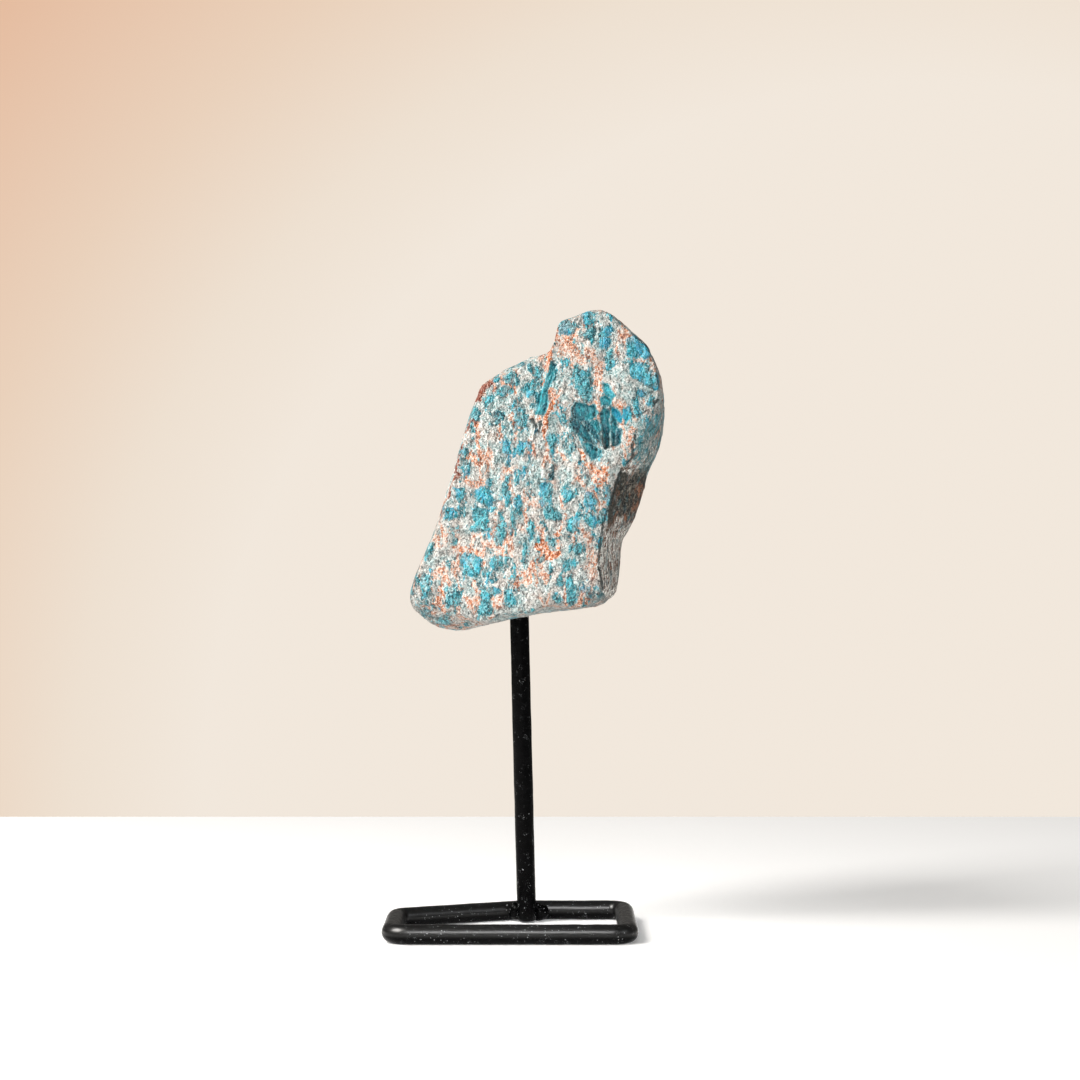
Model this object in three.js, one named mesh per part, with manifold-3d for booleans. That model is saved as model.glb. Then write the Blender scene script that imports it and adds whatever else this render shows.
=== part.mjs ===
// A raw apatite stone shown on a metal pin stand. Millimetres, +Z up, the front faces -Y.
//
// The stone is one rough, slab-like chunk, broken and never polished: a fairly flat front face, a raised lobe
// at the upper right with a step down to a lower left shoulder, a broken hollow in its right side, and blunt
// edges. It is drilled from below. The stand is round steel bar painted black: a bar bent to a loop that lies
// on the table, and an upright post welded to the inside of the loop's back rail, whose top sits in the hole.

import * as THREE from "three";
import { mergeVertices } from "three/addons/utils/BufferGeometryUtils.js";
import Module from "manifold-3d";

const wasm = await Module();
wasm.setup();

// Driving dimensions of the stand. x is measured from the middle of the front rail, y back from its centre
// line.
const BAR_RADIUS = 2.4;
const BAR_SIDES = 16;
const JOINT_GAP = 0.3;
const BEND_RADIUS = 4;
const BEND_STEPS = 6;
const LOOP_HALF_WIDTH = 28.6;
const LOOP_DEPTH_RIGHT = 40.4;
const LOOP_DEPTH_LEFT = 27.2;
const LOOP_KINK_X = 2.2;
const LEAST_MITER = 0.5;

const POST_FOOT_X = 3.9;
const POST_LEAN = THREE.MathUtils.degToRad(-1.4);
const POST_FOOT_ROUNDING = 0.9;
const ROUNDING_MIDDLE = 0.3;
const POST_FOOT_HEIGHT = 0.3;
const POST_Y = LOOP_DEPTH_RIGHT - 2 * BAR_RADIUS - JOINT_GAP;
const POST_TOP = 90;
const HOLE_END_GAP = 0.6;
const HOLE_TOP = POST_TOP + HOLE_END_GAP;

const WELD_RADIUS = 2.3;
const WELD_DETAIL = 3;
const WELD_DEPTH_SHARE = 0.8;
const WELD_WIDTH_SHARE_RIGHT = 1.15;
const WELD_WIDTH_SHARE_LEFT = 0.85;
const WELD_FROM_BAR = 0.75;
const WELD_INTO_RAIL = 0.3;
const WELD_ABOVE_BAR = 0.1;

// The drill and the post's tool start well below what they cut, with square ends.
const DRILL_START = 50;
const CUTTER_START = -5;
const CUTTER_TOP = 20;
const SQUARE_END = 0.01;

// Driving dimensions of the stone. Its depths are measured from STONE_Y, back from the front rail.
const STONE_Y = 31.5;
const MIDDLE_X = 4.2;
const MIDDLE_Z = 116;
const CAP_STEPS = 15;
const SIDE_STEPS = 15;

// Stations round the stone's edge, clockwise from its top as seen from the front. Each gives the outline's
// x and z, how far back the edge lies there, and how far inside it the front face and the back face end.
const STATIONS = [
  [22.2, 154.2, -10, 1.0, 9],
  [25.3, 152.9, -10, 1.0, 9],
  [29.3, 149.5, -10, 1.0, 8],
  [33.7, 145.9, -10, 1.0, 8],
  [35.5, 142.4, -9, 1.0, 9],
  [37, 138.3, -8, 1.2, 10],
  [37.9, 133.2, -4, 1.8, 10],
  [38.6, 128.4, 1, 4.4, 10],
  [38.1, 124.4, 3, 6.0, 9],
  [37.4, 120.7, 4, 6.6, 8],
  [36.2, 117.4, 4, 6.2, 7],
  [34.4, 113.4, 3, 7.4, 6],
  [33.2, 109, 2, 7.8, 6],
  [31.8, 104.2, 2, 7.7, 7],
  [29.7, 99.4, 3, 7.0, 7],
  [28.2, 96.4, 4, 6.2, 7],
  [27.6, 91.7, 4, 7.3, 6],
  [27.1, 87.2, 3, 8.0, 6],
  [25.9, 83.3, 0, 7.0, 7],
  [22.6, 81.0, -4, 2.4, 8],
  [16.9, 79.7, -7, 0.9, 6],
  [10, 78.9, -8, 2.4, 4],
  [4.0, 78.1, -8, 1.2, 4],
  [-2.1, 76.6, -8, 2.2, 6],
  [-7.5, 75.2, -7, 2.0, 10],
  [-12, 74.3, -6, 4.2, 12],
  [-17, 74.9, -7, 4.6, 12],
  [-21.1, 77.5, -9, 4.4, 11],
  [-24.3, 80.3, -11, 2.6, 10],
  [-24.7, 84.1, -12, 1.6, 9],
  [-23.2, 89.2, -13, 1.2, 8],
  [-20, 96.5, -13, 1.0, 8],
  [-17.3, 103.6, -13, 1.0, 9],
  [-15.1, 110.9, -13, 0.9, 9],
  [-12.7, 119.6, -12, 0.9, 10],
  [-10.1, 127.6, -11, 0.9, 10],
  [-8.4, 132.9, -10, 0.9, 9],
  [-7.1, 135.5, -10, 1.0, 8],
  [-4.4, 137.3, -10, 1.3, 8],
  [0.2, 139.6, -9, 1.4, 9],
  [4.6, 141.9, -9, 1.4, 9],
  [7.4, 142.7, -10, 1.2, 9],
  [9.4, 143.5, -11, 1.0, 9],
  [10.2, 144.7, -12, 0.8, 9],
  [11.1, 147.1, -12, 0.8, 10],
  [12.2, 150.8, -11, 0.9, 10],
  [15.6, 152.5, -10, 1.3, 9],
  [18.7, 153.7, -10, 1.4, 9],
];

// Faces of the stone, each the plane y = depth + slopeX * (x - MIDDLE_X) + slopeZ * (z - MIDDLE_Z).
// The front follows whichever front plane lies furthest back, and the back whichever back plane is nearest.
const FRONT_FACES = [
  { depth: -16.6, slopeX: 0.03, slopeZ: 0.02 },
  { depth: -20.2, slopeX: 0.2, slopeZ: -0.07 },
  { depth: -20.6, slopeX: -0.06, slopeZ: -0.15 },
  { depth: -20.8, slopeX: -0.14, slopeZ: 0.06 },
];
const BACK_FACES = [
  { depth: 17.4, slopeX: 0.12, slopeZ: -0.06 },
  { depth: 18.2, slopeX: -0.26, slopeZ: 0.03 },
  { depth: 20.0, slopeX: -0.02, slopeZ: -0.36 },
  { depth: 20.6, slopeX: 0.4, slopeZ: 0.16 },
];

// The step between the lobe and the shoulder runs from these two stations towards the middle of the front,
// its crest from one and its foot from the other, and dies out on the way.
const STEP_CREST = STATIONS[44];
const STEP_FOOT = STATIONS[42];
const STEP_DROP = 3.6;
const STEP_DIES_AT = 119;
const STEP_FULL_AT = 134;

// Flat crystal faces let into the front. Each is a tilted oblong of half-lengths long and wide, turned from
// upright, cut in by depth along its middle. BLADE_LIP is half the width of the slope round it.
const BLADE_LIP = 0.5;
const BLADES = [
  { x: 20.2, z: 125.8, long: 8.6, wide: 3.2, turn: 30, depth: 1.3, tilt: 0.2 },
  { x: 25.6, z: 123.0, long: 6.6, wide: 3.0, turn: 8, depth: 1.4, tilt: -0.2 },
  { x: 18.4, z: 133.0, long: 4.2, wide: 2.9, turn: -8, depth: 0.8, tilt: 0.2 },
];

// Bites broken out of the stone, each egg-shaped: the hollow in its right side, and others at its back.
// BITE_FLOOR is the share of a bite, from its middle, that is cut to the full depth.
const BITE_FLOOR = 0.1;
const HOLLOWS = [
  { x: 33.0, y: -8.5, z: 107.0, radiusX: 7.0, radiusY: 10.0, radiusZ: 10.0, depth: 4.2 },
  { x: 33.0, y: 17.0, z: 122.0, radiusX: 9.0, radiusY: 9.0, radiusZ: 12.0, depth: 3.0 },
  { x: -4.0, y: 19.0, z: 112.0, radiusX: 10.0, radiusY: 8.0, radiusZ: 16.0, depth: 2.4 },
  { x: 14.0, y: 14.0, z: 151.0, radiusX: 8.0, radiusY: 10.0, radiusZ: 8.0, depth: 2.6 },
];

// Lumps and coarse grains: the size of one, and how far it stands out.
const LUMP_SIZE = 9;
const LUMP_HEIGHT = 1.6;
const GRAIN_SIZE = 4;
const GRAIN_HEIGHT = 0.8;
const STRETCH_UPWARDS = 1.5;
// The front face is calmer than the rest, and the outline, which keeps to its stations, calmer still.
const FRONT_RELIEF = 0.4;
const FRONT_RELIEF_TO = -15;
const FULL_RELIEF_FROM = -6;
const OUTLINE_RELIEF = 0.35;
// How sharply the sides turn in to the two faces: 1 is a straight bevel, and more is blunter.
const SIDE_BLUNTNESS = 1.5;
// Where, from a face's middle to its rim and from the edge to a face, the way out begins to turn.
const RIM_TURN = 0.85;
const EDGE_TURN = 0.4;

const between = (value, low, high) => Math.min(high, Math.max(low, value));
const mix = (from, to, share) => from + (to - from) * share;
const smoothStep = (low, high, value) => {
  const share = between((value - low) / (high - low), 0, 1);
  return share * share * (3 - 2 * share);
};

// A number from 0 to 1 for each corner of a lattice of unit cubes.
function cornerValue(i, j, k) {
  let bits = Math.imul(i, 374761393) ^ Math.imul(j, 668265263) ^ Math.imul(k, 1274126177);
  bits = Math.imul(bits ^ (bits >>> 13), 1103515245);
  return ((bits ^ (bits >>> 16)) >>> 0) / 4294967295;
}

// Smooth noise from -1 to 1: the corners' values, eased from one to the next along each axis.
function noise(x, y, z) {
  const [i, j, k] = [Math.floor(x), Math.floor(y), Math.floor(z)];
  const [u, v, w] = [x - i, y - j, z - k].map((share) => smoothStep(0, 1, share));
  const alongX = (b, c) => mix(cornerValue(i, j + b, k + c), cornerValue(i + 1, j + b, k + c), u);
  const alongY = (c) => mix(alongX(0, c), alongX(1, c), v);
  return 2 * mix(alongY(0), alongY(1), w) - 1;
}

// One column of the stations as a smooth closed curve, at a share from 0 to 1 of the way round.
function roundTheEdge(share, column) {
  const n = STATIONS.length;
  const at = share * n;
  const i = Math.floor(at);
  const s = at - i;
  const [a, b, c, d] = [-1, 0, 1, 2].map((offset) => STATIONS[(i + offset + n) % n][column]);
  return b + 0.5 * s * (c - a + s * (2 * a - 5 * b + 4 * c - d + s * (3 * (b - c) + d - a)));
}

const planeAt = (face, x, z) => face.depth + face.slopeX * (x - MIDDLE_X) + face.slopeZ * (z - MIDDLE_Z);

// How far the shoulder lies behind the lobe at a point of the front: nothing on the lobe's side of the step.
function stepAt(x, z) {
  const lineAt = ([topX, topZ]) => mix(MIDDLE_X, topX, (z - MIDDLE_Z) / (topZ - MIDDLE_Z));
  const [crest, foot] = [lineAt(STEP_CREST), lineAt(STEP_FOOT)];
  if (x >= crest) return 0;
  return STEP_DROP * smoothStep(STEP_DIES_AT, STEP_FULL_AT, z) * between((crest - x) / (crest - foot), 0, 1);
}

// How far the flat crystal faces cut into the front at a point.
function bladesAt(x, z) {
  let cut = 0;
  for (const blade of BLADES) {
    const turn = THREE.MathUtils.degToRad(blade.turn);
    const across = (x - blade.x) * Math.cos(turn) + (z - blade.z) * Math.sin(turn);
    const along = (z - blade.z) * Math.cos(turn) - (x - blade.x) * Math.sin(turn);
    const outside = Math.max(Math.abs(across) - blade.wide, Math.abs(along) - blade.long);
    cut = Math.max(cut, (blade.depth + blade.tilt * across) * smoothStep(BLADE_LIP, -BLADE_LIP, outside));
  }
  return cut;
}

function frontAt(x, z) {
  return Math.max(...FRONT_FACES.map((face) => planeAt(face, x, z))) + stepAt(x, z) + bladesAt(x, z);
}

function backAt(x, z) {
  return Math.min(...BACK_FACES.map((face) => planeAt(face, x, z)));
}

// How far the surface stands out at a point, or in where below 0: lumps and coarse grains, and the hollows.
function reliefAt(x, y, z) {
  const up = z / STRETCH_UPWARDS;
  const lumps = LUMP_HEIGHT * noise(x / LUMP_SIZE, y / LUMP_SIZE, up / LUMP_SIZE);
  const grains = GRAIN_HEIGHT * noise(x / GRAIN_SIZE, y / GRAIN_SIZE, up / GRAIN_SIZE);
  let height = (lumps + grains) * mix(FRONT_RELIEF, 1, smoothStep(FRONT_RELIEF_TO, FULL_RELIEF_FROM, y));
  for (const bite of HOLLOWS) {
    const across = (x - bite.x) / bite.radiusX;
    const back = (y - bite.y) / bite.radiusY;
    const upwards = (z - bite.z) / bite.radiusZ;
    height -= bite.depth * smoothStep(1, BITE_FLOOR, Math.hypot(across, back, upwards));
  }
  return height;
}

// The stone's surface for a point of a box 2 by 2 by 2, whose a runs right, b up, and c from front to back.
// The box's front and back become the stone's, and its four sides the stone's edge, blunt along its outline.
function stonePoint(a, b, c) {
  const ring = Math.max(Math.abs(a), Math.abs(b), 1e-6);
  const [u, v] = [a / ring, b / ring];
  // How far round the square the point lies, clockwise from the middle of its top.
  let eighths = u;
  if (u === 1) eighths = 2 - v;
  else if (v === -1) eighths = 4 - u;
  else if (u === -1) eighths = 6 + v;
  const share = (eighths / 8 + 1) % 1;
  const [edgeX, edgeZ, edgeY, frontInset, backInset] = [0, 1, 2, 3, 4].map((n) => roundTheEdge(share, n));
  const reach = Math.hypot(edgeX - MIDDLE_X, edgeZ - MIDDLE_Z);
  const [outX, outZ] = [(edgeX - MIDDLE_X) / reach, (edgeZ - MIDDLE_Z) / reach];
  const onSpoke = (radius) => [MIDDLE_X + outX * radius, MIDDLE_Z + outZ * radius];
  let [x, y, z] = [0, 0, 0];
  if (Math.abs(c) === 1) {
    [x, z] = onSpoke(ring * (reach - (c < 0 ? frontInset : backInset)));
    y = c < 0 ? frontAt(x, z) : backAt(x, z);
  } else if (c < 0) {
    const rimY = frontAt(...onSpoke(reach - frontInset));
    [x, z] = onSpoke(reach - frontInset * Math.pow(-c, SIDE_BLUNTNESS));
    y = mix(edgeY, rimY, -c);
  } else {
    const rimY = backAt(...onSpoke(reach - backInset));
    [x, z] = onSpoke(reach - backInset * Math.pow(c, SIDE_BLUNTNESS));
    y = mix(edgeY, rimY, c);
  }
  // The way out turns from straight ahead on a face to along the spoke at the outline.
  const sideways = smoothStep(RIM_TURN, 1, ring);
  const forwards = smoothStep(EDGE_TURN, 1, Math.abs(c));
  const out = new THREE.Vector3(outX * sideways, Math.sign(c) * forwards, outZ * sideways).normalize();
  const height = reliefAt(x, y, z) * mix(OUTLINE_RELIEF, 1, forwards);
  return new THREE.Vector3(x, y, z).addScaledVector(out, height);
}

// Points nearer than this to each other are one.
const SAME_POINT = 1e-3;

// The bare positions of a geometry with its shared corners merged, which is what a boolean needs.
function merged(geometry) {
  const bare = geometry.index ? geometry.toNonIndexed() : geometry.clone();
  bare.deleteAttribute("normal");
  bare.deleteAttribute("uv");
  return mergeVertices(bare, SAME_POINT);
}

function toSolid(geometry) {
  const closed = merged(geometry);
  return new wasm.Manifold(
    new wasm.Mesh({
      numProp: 3,
      vertProperties: new Float32Array(closed.attributes.position.array),
      triVerts: new Uint32Array(closed.index.array),
    }),
  );
}

function toGeometry(solid) {
  const mesh = solid.getMesh();
  const geometry = new THREE.BufferGeometry();
  geometry.setAttribute("position", new THREE.BufferAttribute(new Float32Array(mesh.vertProperties), 3));
  geometry.setIndex(new THREE.BufferAttribute(new Uint32Array(mesh.triVerts), 1));
  geometry.computeVertexNormals();
  return geometry;
}

// A round bar standing on the post's foot and leaning with it, from one height to another.
function leaningBar(radius, bottom, top, rounding) {
  const face = radius / Math.cos(Math.PI / BAR_SIDES);
  const profile = [
    [0, bottom],
    [face - rounding, bottom],
    [face - ROUNDING_MIDDLE * rounding, bottom + ROUNDING_MIDDLE * rounding],
    [face, bottom + rounding],
    [face, top],
    [0, top],
  ].map(([r, h]) => new THREE.Vector2(r, h));
  const bar = new THREE.LatheGeometry(profile, BAR_SIDES);
  bar.rotateX(Math.PI / 2);
  bar.rotateY(POST_LEAN);
  bar.translate(POST_FOOT_X, POST_Y, 0);
  return bar;
}

// The stone: a box's grid of points carried on to the stone's surface, then drilled for the post.
function stoneGeometry() {
  const box = merged(new THREE.BoxGeometry(2, 2, 2, 2 * CAP_STEPS, 2 * CAP_STEPS, SIDE_STEPS));
  box.rotateX(Math.PI / 2);
  const position = box.attributes.position;
  const exact = (value) => Math.round(value * 1e4) / 1e4;
  for (let i = 0; i < position.count; i++) {
    const point = stonePoint(exact(position.getX(i)), exact(position.getZ(i)), exact(position.getY(i)));
    position.setXYZ(i, point.x, point.y + STONE_Y, point.z);
  }
  const drill = leaningBar(BAR_RADIUS + JOINT_GAP, DRILL_START, HOLE_TOP, SQUARE_END);
  return toGeometry(toSolid(box).subtract(toSolid(drill)));
}

// The loop's centre line, anticlockwise from above: corners with round bends, and a kink by the post.
function loopPath() {
  const corners = [
    [-LOOP_HALF_WIDTH, 0, BEND_RADIUS],
    [LOOP_HALF_WIDTH, 0, BEND_RADIUS],
    [LOOP_HALF_WIDTH, LOOP_DEPTH_RIGHT, BEND_RADIUS],
    [LOOP_KINK_X, LOOP_DEPTH_RIGHT, BEND_RADIUS],
    [-LOOP_HALF_WIDTH, LOOP_DEPTH_LEFT, BEND_RADIUS],
  ];
  const path = [];
  corners.forEach(([x, y, radius], k) => {
    const corner = new THREE.Vector2(x, y);
    const n = corners.length;
    const from = new THREE.Vector2(...corners[(k + n - 1) % n]).sub(corner).normalize();
    const to = new THREE.Vector2(...corners[(k + 1) % n]).sub(corner).normalize();
    const half = Math.acos(from.dot(to)) / 2;
    const middle = from.clone().add(to).normalize().multiplyScalar(radius / Math.sin(half)).add(corner);
    const start = from.clone().multiplyScalar(radius / Math.tan(half)).add(corner).sub(middle);
    const sweep = Math.PI - 2 * half;
    const turn = Math.sign(from.x * to.y - from.y * to.x);
    for (let step = 0; step <= BEND_STEPS; step++) {
      const spoke = start.clone().rotateAround(new THREE.Vector2(), (-turn * sweep * step) / BEND_STEPS);
      path.push(spoke.add(middle));
    }
  });
  return path;
}

// The loop: a torus whose rings are set along the loop's path, its section a polygon flat at top and bottom.
function loopGeometry() {
  const path = loopPath();
  const count = path.length;
  // Only the torus's grid and faces are kept, so its own two radii don't matter.
  const torus = new THREE.TorusGeometry(BAR_RADIUS, BAR_RADIUS, BAR_SIDES, count);
  const position = torus.attributes.position;
  const face = BAR_RADIUS / Math.cos(Math.PI / BAR_SIDES);
  for (let side = 0; side <= BAR_SIDES; side++) {
    const angle = ((side + 0.5) * 2 * Math.PI) / BAR_SIDES;
    for (let ring = 0; ring <= count; ring++) {
      const here = path[ring % count];
      const before = here.clone().sub(path[(ring + count - 1) % count]).normalize();
      const after = path[(ring + 1) % count].clone().sub(here).normalize();
      const along = before.clone().add(after).normalize();
      const miter = 1 / Math.max(LEAST_MITER, along.dot(after));
      const out = new THREE.Vector2(along.y, -along.x).multiplyScalar(face * Math.cos(angle) * miter);
      const i = side * (count + 1) + ring;
      position.setXYZ(i, here.x + out.x, here.y + out.y, BAR_RADIUS + face * Math.sin(angle));
    }
  }
  return torus;
}

// A weld bead in the corner between the post and the back rail, cut back to clear both bars.
function weldGeometry(side) {
  const lump = new THREE.IcosahedronGeometry(WELD_RADIUS, WELD_DETAIL);
  lump.scale(side > 0 ? WELD_WIDTH_SHARE_RIGHT : WELD_WIDTH_SHARE_LEFT, WELD_DEPTH_SHARE, 1);
  lump.translate(
    POST_FOOT_X + side * (BAR_RADIUS + WELD_FROM_BAR),
    POST_Y + BAR_RADIUS - WELD_INTO_RAIL,
    BAR_RADIUS + WELD_ABOVE_BAR,
  );
  const clear = (BAR_RADIUS + JOINT_GAP) / BAR_RADIUS;
  const rail = loopGeometry();
  rail.translate(0, -LOOP_DEPTH_RIGHT, -BAR_RADIUS);
  rail.scale(1, clear, clear);
  rail.translate(0, LOOP_DEPTH_RIGHT, BAR_RADIUS);
  const post = leaningBar(BAR_RADIUS + JOINT_GAP, CUTTER_START, CUTTER_TOP, SQUARE_END);
  return toGeometry(toSolid(lump).subtract(toSolid(rail)).subtract(toSolid(post)));
}

const stone = new THREE.MeshStandardMaterial({ color: 0x8fa9a7, roughness: 0.7, metalness: 0 });
const blackPaint = new THREE.MeshStandardMaterial({ color: 0x0b0b0c, roughness: 0.35, metalness: 0 });

function piece(name, geometry, material) {
  const mesh = new THREE.Mesh(geometry, material);
  mesh.name = name;
  return mesh;
}

const object = new THREE.Group();
object.add(
  piece("apatite_stone", stoneGeometry(), stone),
  piece("post", leaningBar(BAR_RADIUS, POST_FOOT_HEIGHT, POST_TOP, POST_FOOT_ROUNDING), blackPaint),
  piece("base_loop", loopGeometry(), blackPaint),
  piece("weld_right", weldGeometry(1), blackPaint),
  piece("weld_left", weldGeometry(-1), blackPaint),
);

// The origin is on the table, under the middle of the object's box.
const bounds = new THREE.Box3().setFromObject(object, true);
const middle = bounds.getCenter(new THREE.Vector3());
object.position.set(-middle.x, -middle.y, -bounds.min.z);

export default object;
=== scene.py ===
import math

import bpy
import numpy as np
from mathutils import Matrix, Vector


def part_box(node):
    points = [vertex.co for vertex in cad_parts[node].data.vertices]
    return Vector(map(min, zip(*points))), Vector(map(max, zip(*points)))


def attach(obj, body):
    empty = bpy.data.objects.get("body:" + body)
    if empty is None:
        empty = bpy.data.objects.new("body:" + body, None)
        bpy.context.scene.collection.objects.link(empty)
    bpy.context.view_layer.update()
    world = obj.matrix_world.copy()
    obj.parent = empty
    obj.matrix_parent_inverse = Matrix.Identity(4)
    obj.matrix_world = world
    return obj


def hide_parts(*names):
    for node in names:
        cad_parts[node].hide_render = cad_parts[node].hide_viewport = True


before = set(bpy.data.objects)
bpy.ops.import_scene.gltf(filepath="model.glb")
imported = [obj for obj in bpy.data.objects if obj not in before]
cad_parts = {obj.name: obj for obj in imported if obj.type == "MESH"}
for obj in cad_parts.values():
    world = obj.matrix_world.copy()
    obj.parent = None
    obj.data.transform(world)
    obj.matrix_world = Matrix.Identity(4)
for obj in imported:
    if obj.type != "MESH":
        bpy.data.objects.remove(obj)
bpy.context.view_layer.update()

# The view and the ground. A level camera with a long lens stands in front of the stand, a little above its
# middle. The floor is plain and white, it ends behind the stand, and beyond it is a plain cream wall.

MM = 0.001
loop_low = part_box("base_loop")[0]
RAIL_RADIUS = 2.4
HALF_OUTER_WIDTH = 31.0
RAIL_MIDDLE_X = loop_low[0] / MM + HALF_OUTER_WIDTH
RAIL_Y = loop_low[1] / MM + RAIL_RADIUS


def placed(points):
    """Points in millimetres from the middle of the front rail's centre line, as metres from the origin."""
    return (np.asarray(points, float) + [RAIL_MIDDLE_X, RAIL_Y, 0.0]) * MM


SENSOR = 36.0
PICTURE_PIXELS = 1080
PIXELS_PER_TANGENT = 2585
CAMERA_PLACE = [7.25, -620.0, 99.0]
CAMERA_TILT = math.radians(-0.18)

camera_data = bpy.data.cameras.new("view")
camera_data.sensor_width = SENSOR
camera_data.lens = SENSOR * PIXELS_PER_TANGENT / PICTURE_PIXELS
camera_data.clip_start = 0.01
camera_data.clip_end = 20
camera = bpy.data.objects.new("view", camera_data)
camera.location = placed(CAMERA_PLACE)
camera.rotation_euler = (math.pi / 2 + CAMERA_TILT, 0, 0)
bpy.context.collection.objects.link(camera)
bpy.context.scene.camera = camera
bpy.context.scene.view_settings.view_transform = "Standard"


class Shade:
    """A socket in a material. Arithmetic on it adds Math nodes, and make() adds a node of any other type."""

    def __init__(self, tree, socket):
        self.tree = tree
        self.socket = socket

    def make(self, kind, settings, inputs, output=0):
        """Adds a node, gives it its settings and then its inputs, and returns one of its outputs."""
        node = self.tree.nodes.new(kind)
        for name, value in settings.items():
            if name == "stops":
                ramp = node.color_ramp
                while len(ramp.elements) < len(value):
                    ramp.elements.new(1.0)
                for element, (position, colour) in zip(ramp.elements, value):
                    element.position = position
                    element.color = (*colour, 1.0)
            else:
                setattr(node, name, value)
        for name, value in inputs.items():
            if isinstance(value, Shade):
                self.tree.links.new(value.socket, node.inputs[name])
            else:
                node.inputs[name].default_value = value
        return None if output is None else Shade(self.tree, node.outputs[output])

    def math(self, operation, first, second=0.0):
        """One sum on numbers: adding, multiplying and the like."""
        return self.make("ShaderNodeMath", {"operation": operation}, {0: first, 1: second})

    def __add__(self, other):
        return self.math("ADD", self, other)

    __radd__ = __add__

    def __sub__(self, other):
        return self.math("SUBTRACT", self, other)

    def __rsub__(self, other):
        return self.math("SUBTRACT", other, self)

    def __mul__(self, other):
        return self.math("MULTIPLY", self, other)

    __rmul__ = __mul__

    def __truediv__(self, other):
        return self.math("DIVIDE", self, other)

    def __abs__(self):
        return self.math("ABSOLUTE", self)

    def rise(self, low, high):
        """0 below low and 1 above high, and eased between them; it falls where low is the larger."""
        ends = {"Value": self, "From Min": low, "From Max": high, "To Min": 0.0, "To Max": 1.0}
        if low > high:
            ends.update({"From Min": high, "From Max": low, "To Min": 1.0, "To Max": 0.0})
        return self.make("ShaderNodeMapRange", {"interpolation_type": "SMOOTHSTEP"}, ends)

    def larger(self, other):
        """The larger of two values."""
        return self.math("MAXIMUM", self, other)

    def scaled(self, factors):
        """A vector with each part multiplied by its own factor."""
        return self.make("ShaderNodeVectorMath", {"operation": "MULTIPLY"}, {0: self, 1: factors})

    def moved(self, other, share):
        """A vector moved by another one whose parts run from 0 to 1, by up to half of share each way."""
        centred = self.make("ShaderNodeVectorMath", {"operation": "SUBTRACT"}, {0: other, 1: (0.5, 0.5, 0.5)})
        scaled = self.make("ShaderNodeVectorMath", {"operation": "SCALE"}, {0: centred, "Scale": share})
        return self.make("ShaderNodeVectorMath", {"operation": "ADD"}, {0: self, 1: scaled})

    def noise(self, size, detail=2.0, roughness=0.5, distortion=0.0, output=0):
        """Noise read at this vector, in lumps of about the given size; output 1 is its colour."""
        inputs = {"Vector": self, "Scale": 1 / size, "Detail": detail, "Roughness": roughness}
        return self.make("ShaderNodeTexNoise", {}, {**inputs, "Distortion": distortion}, output)

    def cells(self, size, feature="F1", output=0, randomness=1.0):
        """Cells round scattered points, of about the given size; output 0 is a distance to them and output 1
        each cell's own colour."""
        inputs = {"Vector": self, "Scale": 1 / size, "Randomness": randomness}
        return self.make("ShaderNodeTexVoronoi", {"feature": feature}, inputs, output)

    def towards(self, other, share):
        """This colour mixed with another one by a share from 0 to 1."""
        return self.make("ShaderNodeMix", {"data_type": "RGBA"}, {0: share, 6: self, 7: other}, 2)

    def ramp(self, *stops):
        """The colour that this value has on a row of stops, each a position and a colour."""
        return self.make("ShaderNodeValToRGB", {"stops": stops}, {0: self})

    def part(self, index):
        """One part of a colour: 0 is its red, 1 its green and 2 its blue."""
        return self.make("ShaderNodeSeparateColor", {}, {0: self}, index)


def new_material(name, roughness):
    """A material with a Principled shader, and the position on the piece in millimetres to start from."""
    material = bpy.data.materials.new(name)
    material.use_nodes = True
    tree = material.node_tree
    tree.nodes.clear()
    shader = tree.nodes.new("ShaderNodeBsdfPrincipled")
    shader.inputs["Roughness"].default_value = roughness
    output = tree.nodes.new("ShaderNodeOutputMaterial")
    tree.links.new(shader.outputs[0], output.inputs[0])
    place = Shade(tree, tree.nodes.new("ShaderNodeTexCoord").outputs["Object"])
    return material, shader, place.scaled((1 / MM, 1 / MM, 1 / MM))


def set_socket(shader, name, value):
    """Links a pattern to a shader's input."""
    value.tree.links.new(value.socket, shader.inputs[name])


def new_piece(name, points, faces, material):
    """A smooth mesh object from points in millimetres and a list of arrays of faces, quads or triangles."""
    mesh = bpy.data.meshes.new(name)
    mesh.vertices.add(len(points))
    mesh.vertices.foreach_set("co", placed(points).astype(np.float32).ravel())
    corners = np.concatenate([group.ravel() for group in faces]).astype(np.int32)
    sizes = np.concatenate([np.full(len(group), group.shape[1]) for group in faces])
    mesh.loops.add(len(corners))
    mesh.loops.foreach_set("vertex_index", corners)
    mesh.polygons.add(len(sizes))
    mesh.polygons.foreach_set("loop_start", (np.cumsum(sizes) - sizes).astype(np.int32))
    mesh.polygons.foreach_set("use_smooth", np.full(len(sizes), True))
    mesh.update(calc_edges=True)
    mesh.validate()
    mesh.materials.append(material)
    piece = bpy.data.objects.new(name, mesh)
    bpy.context.collection.objects.link(piece)
    return piece


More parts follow.
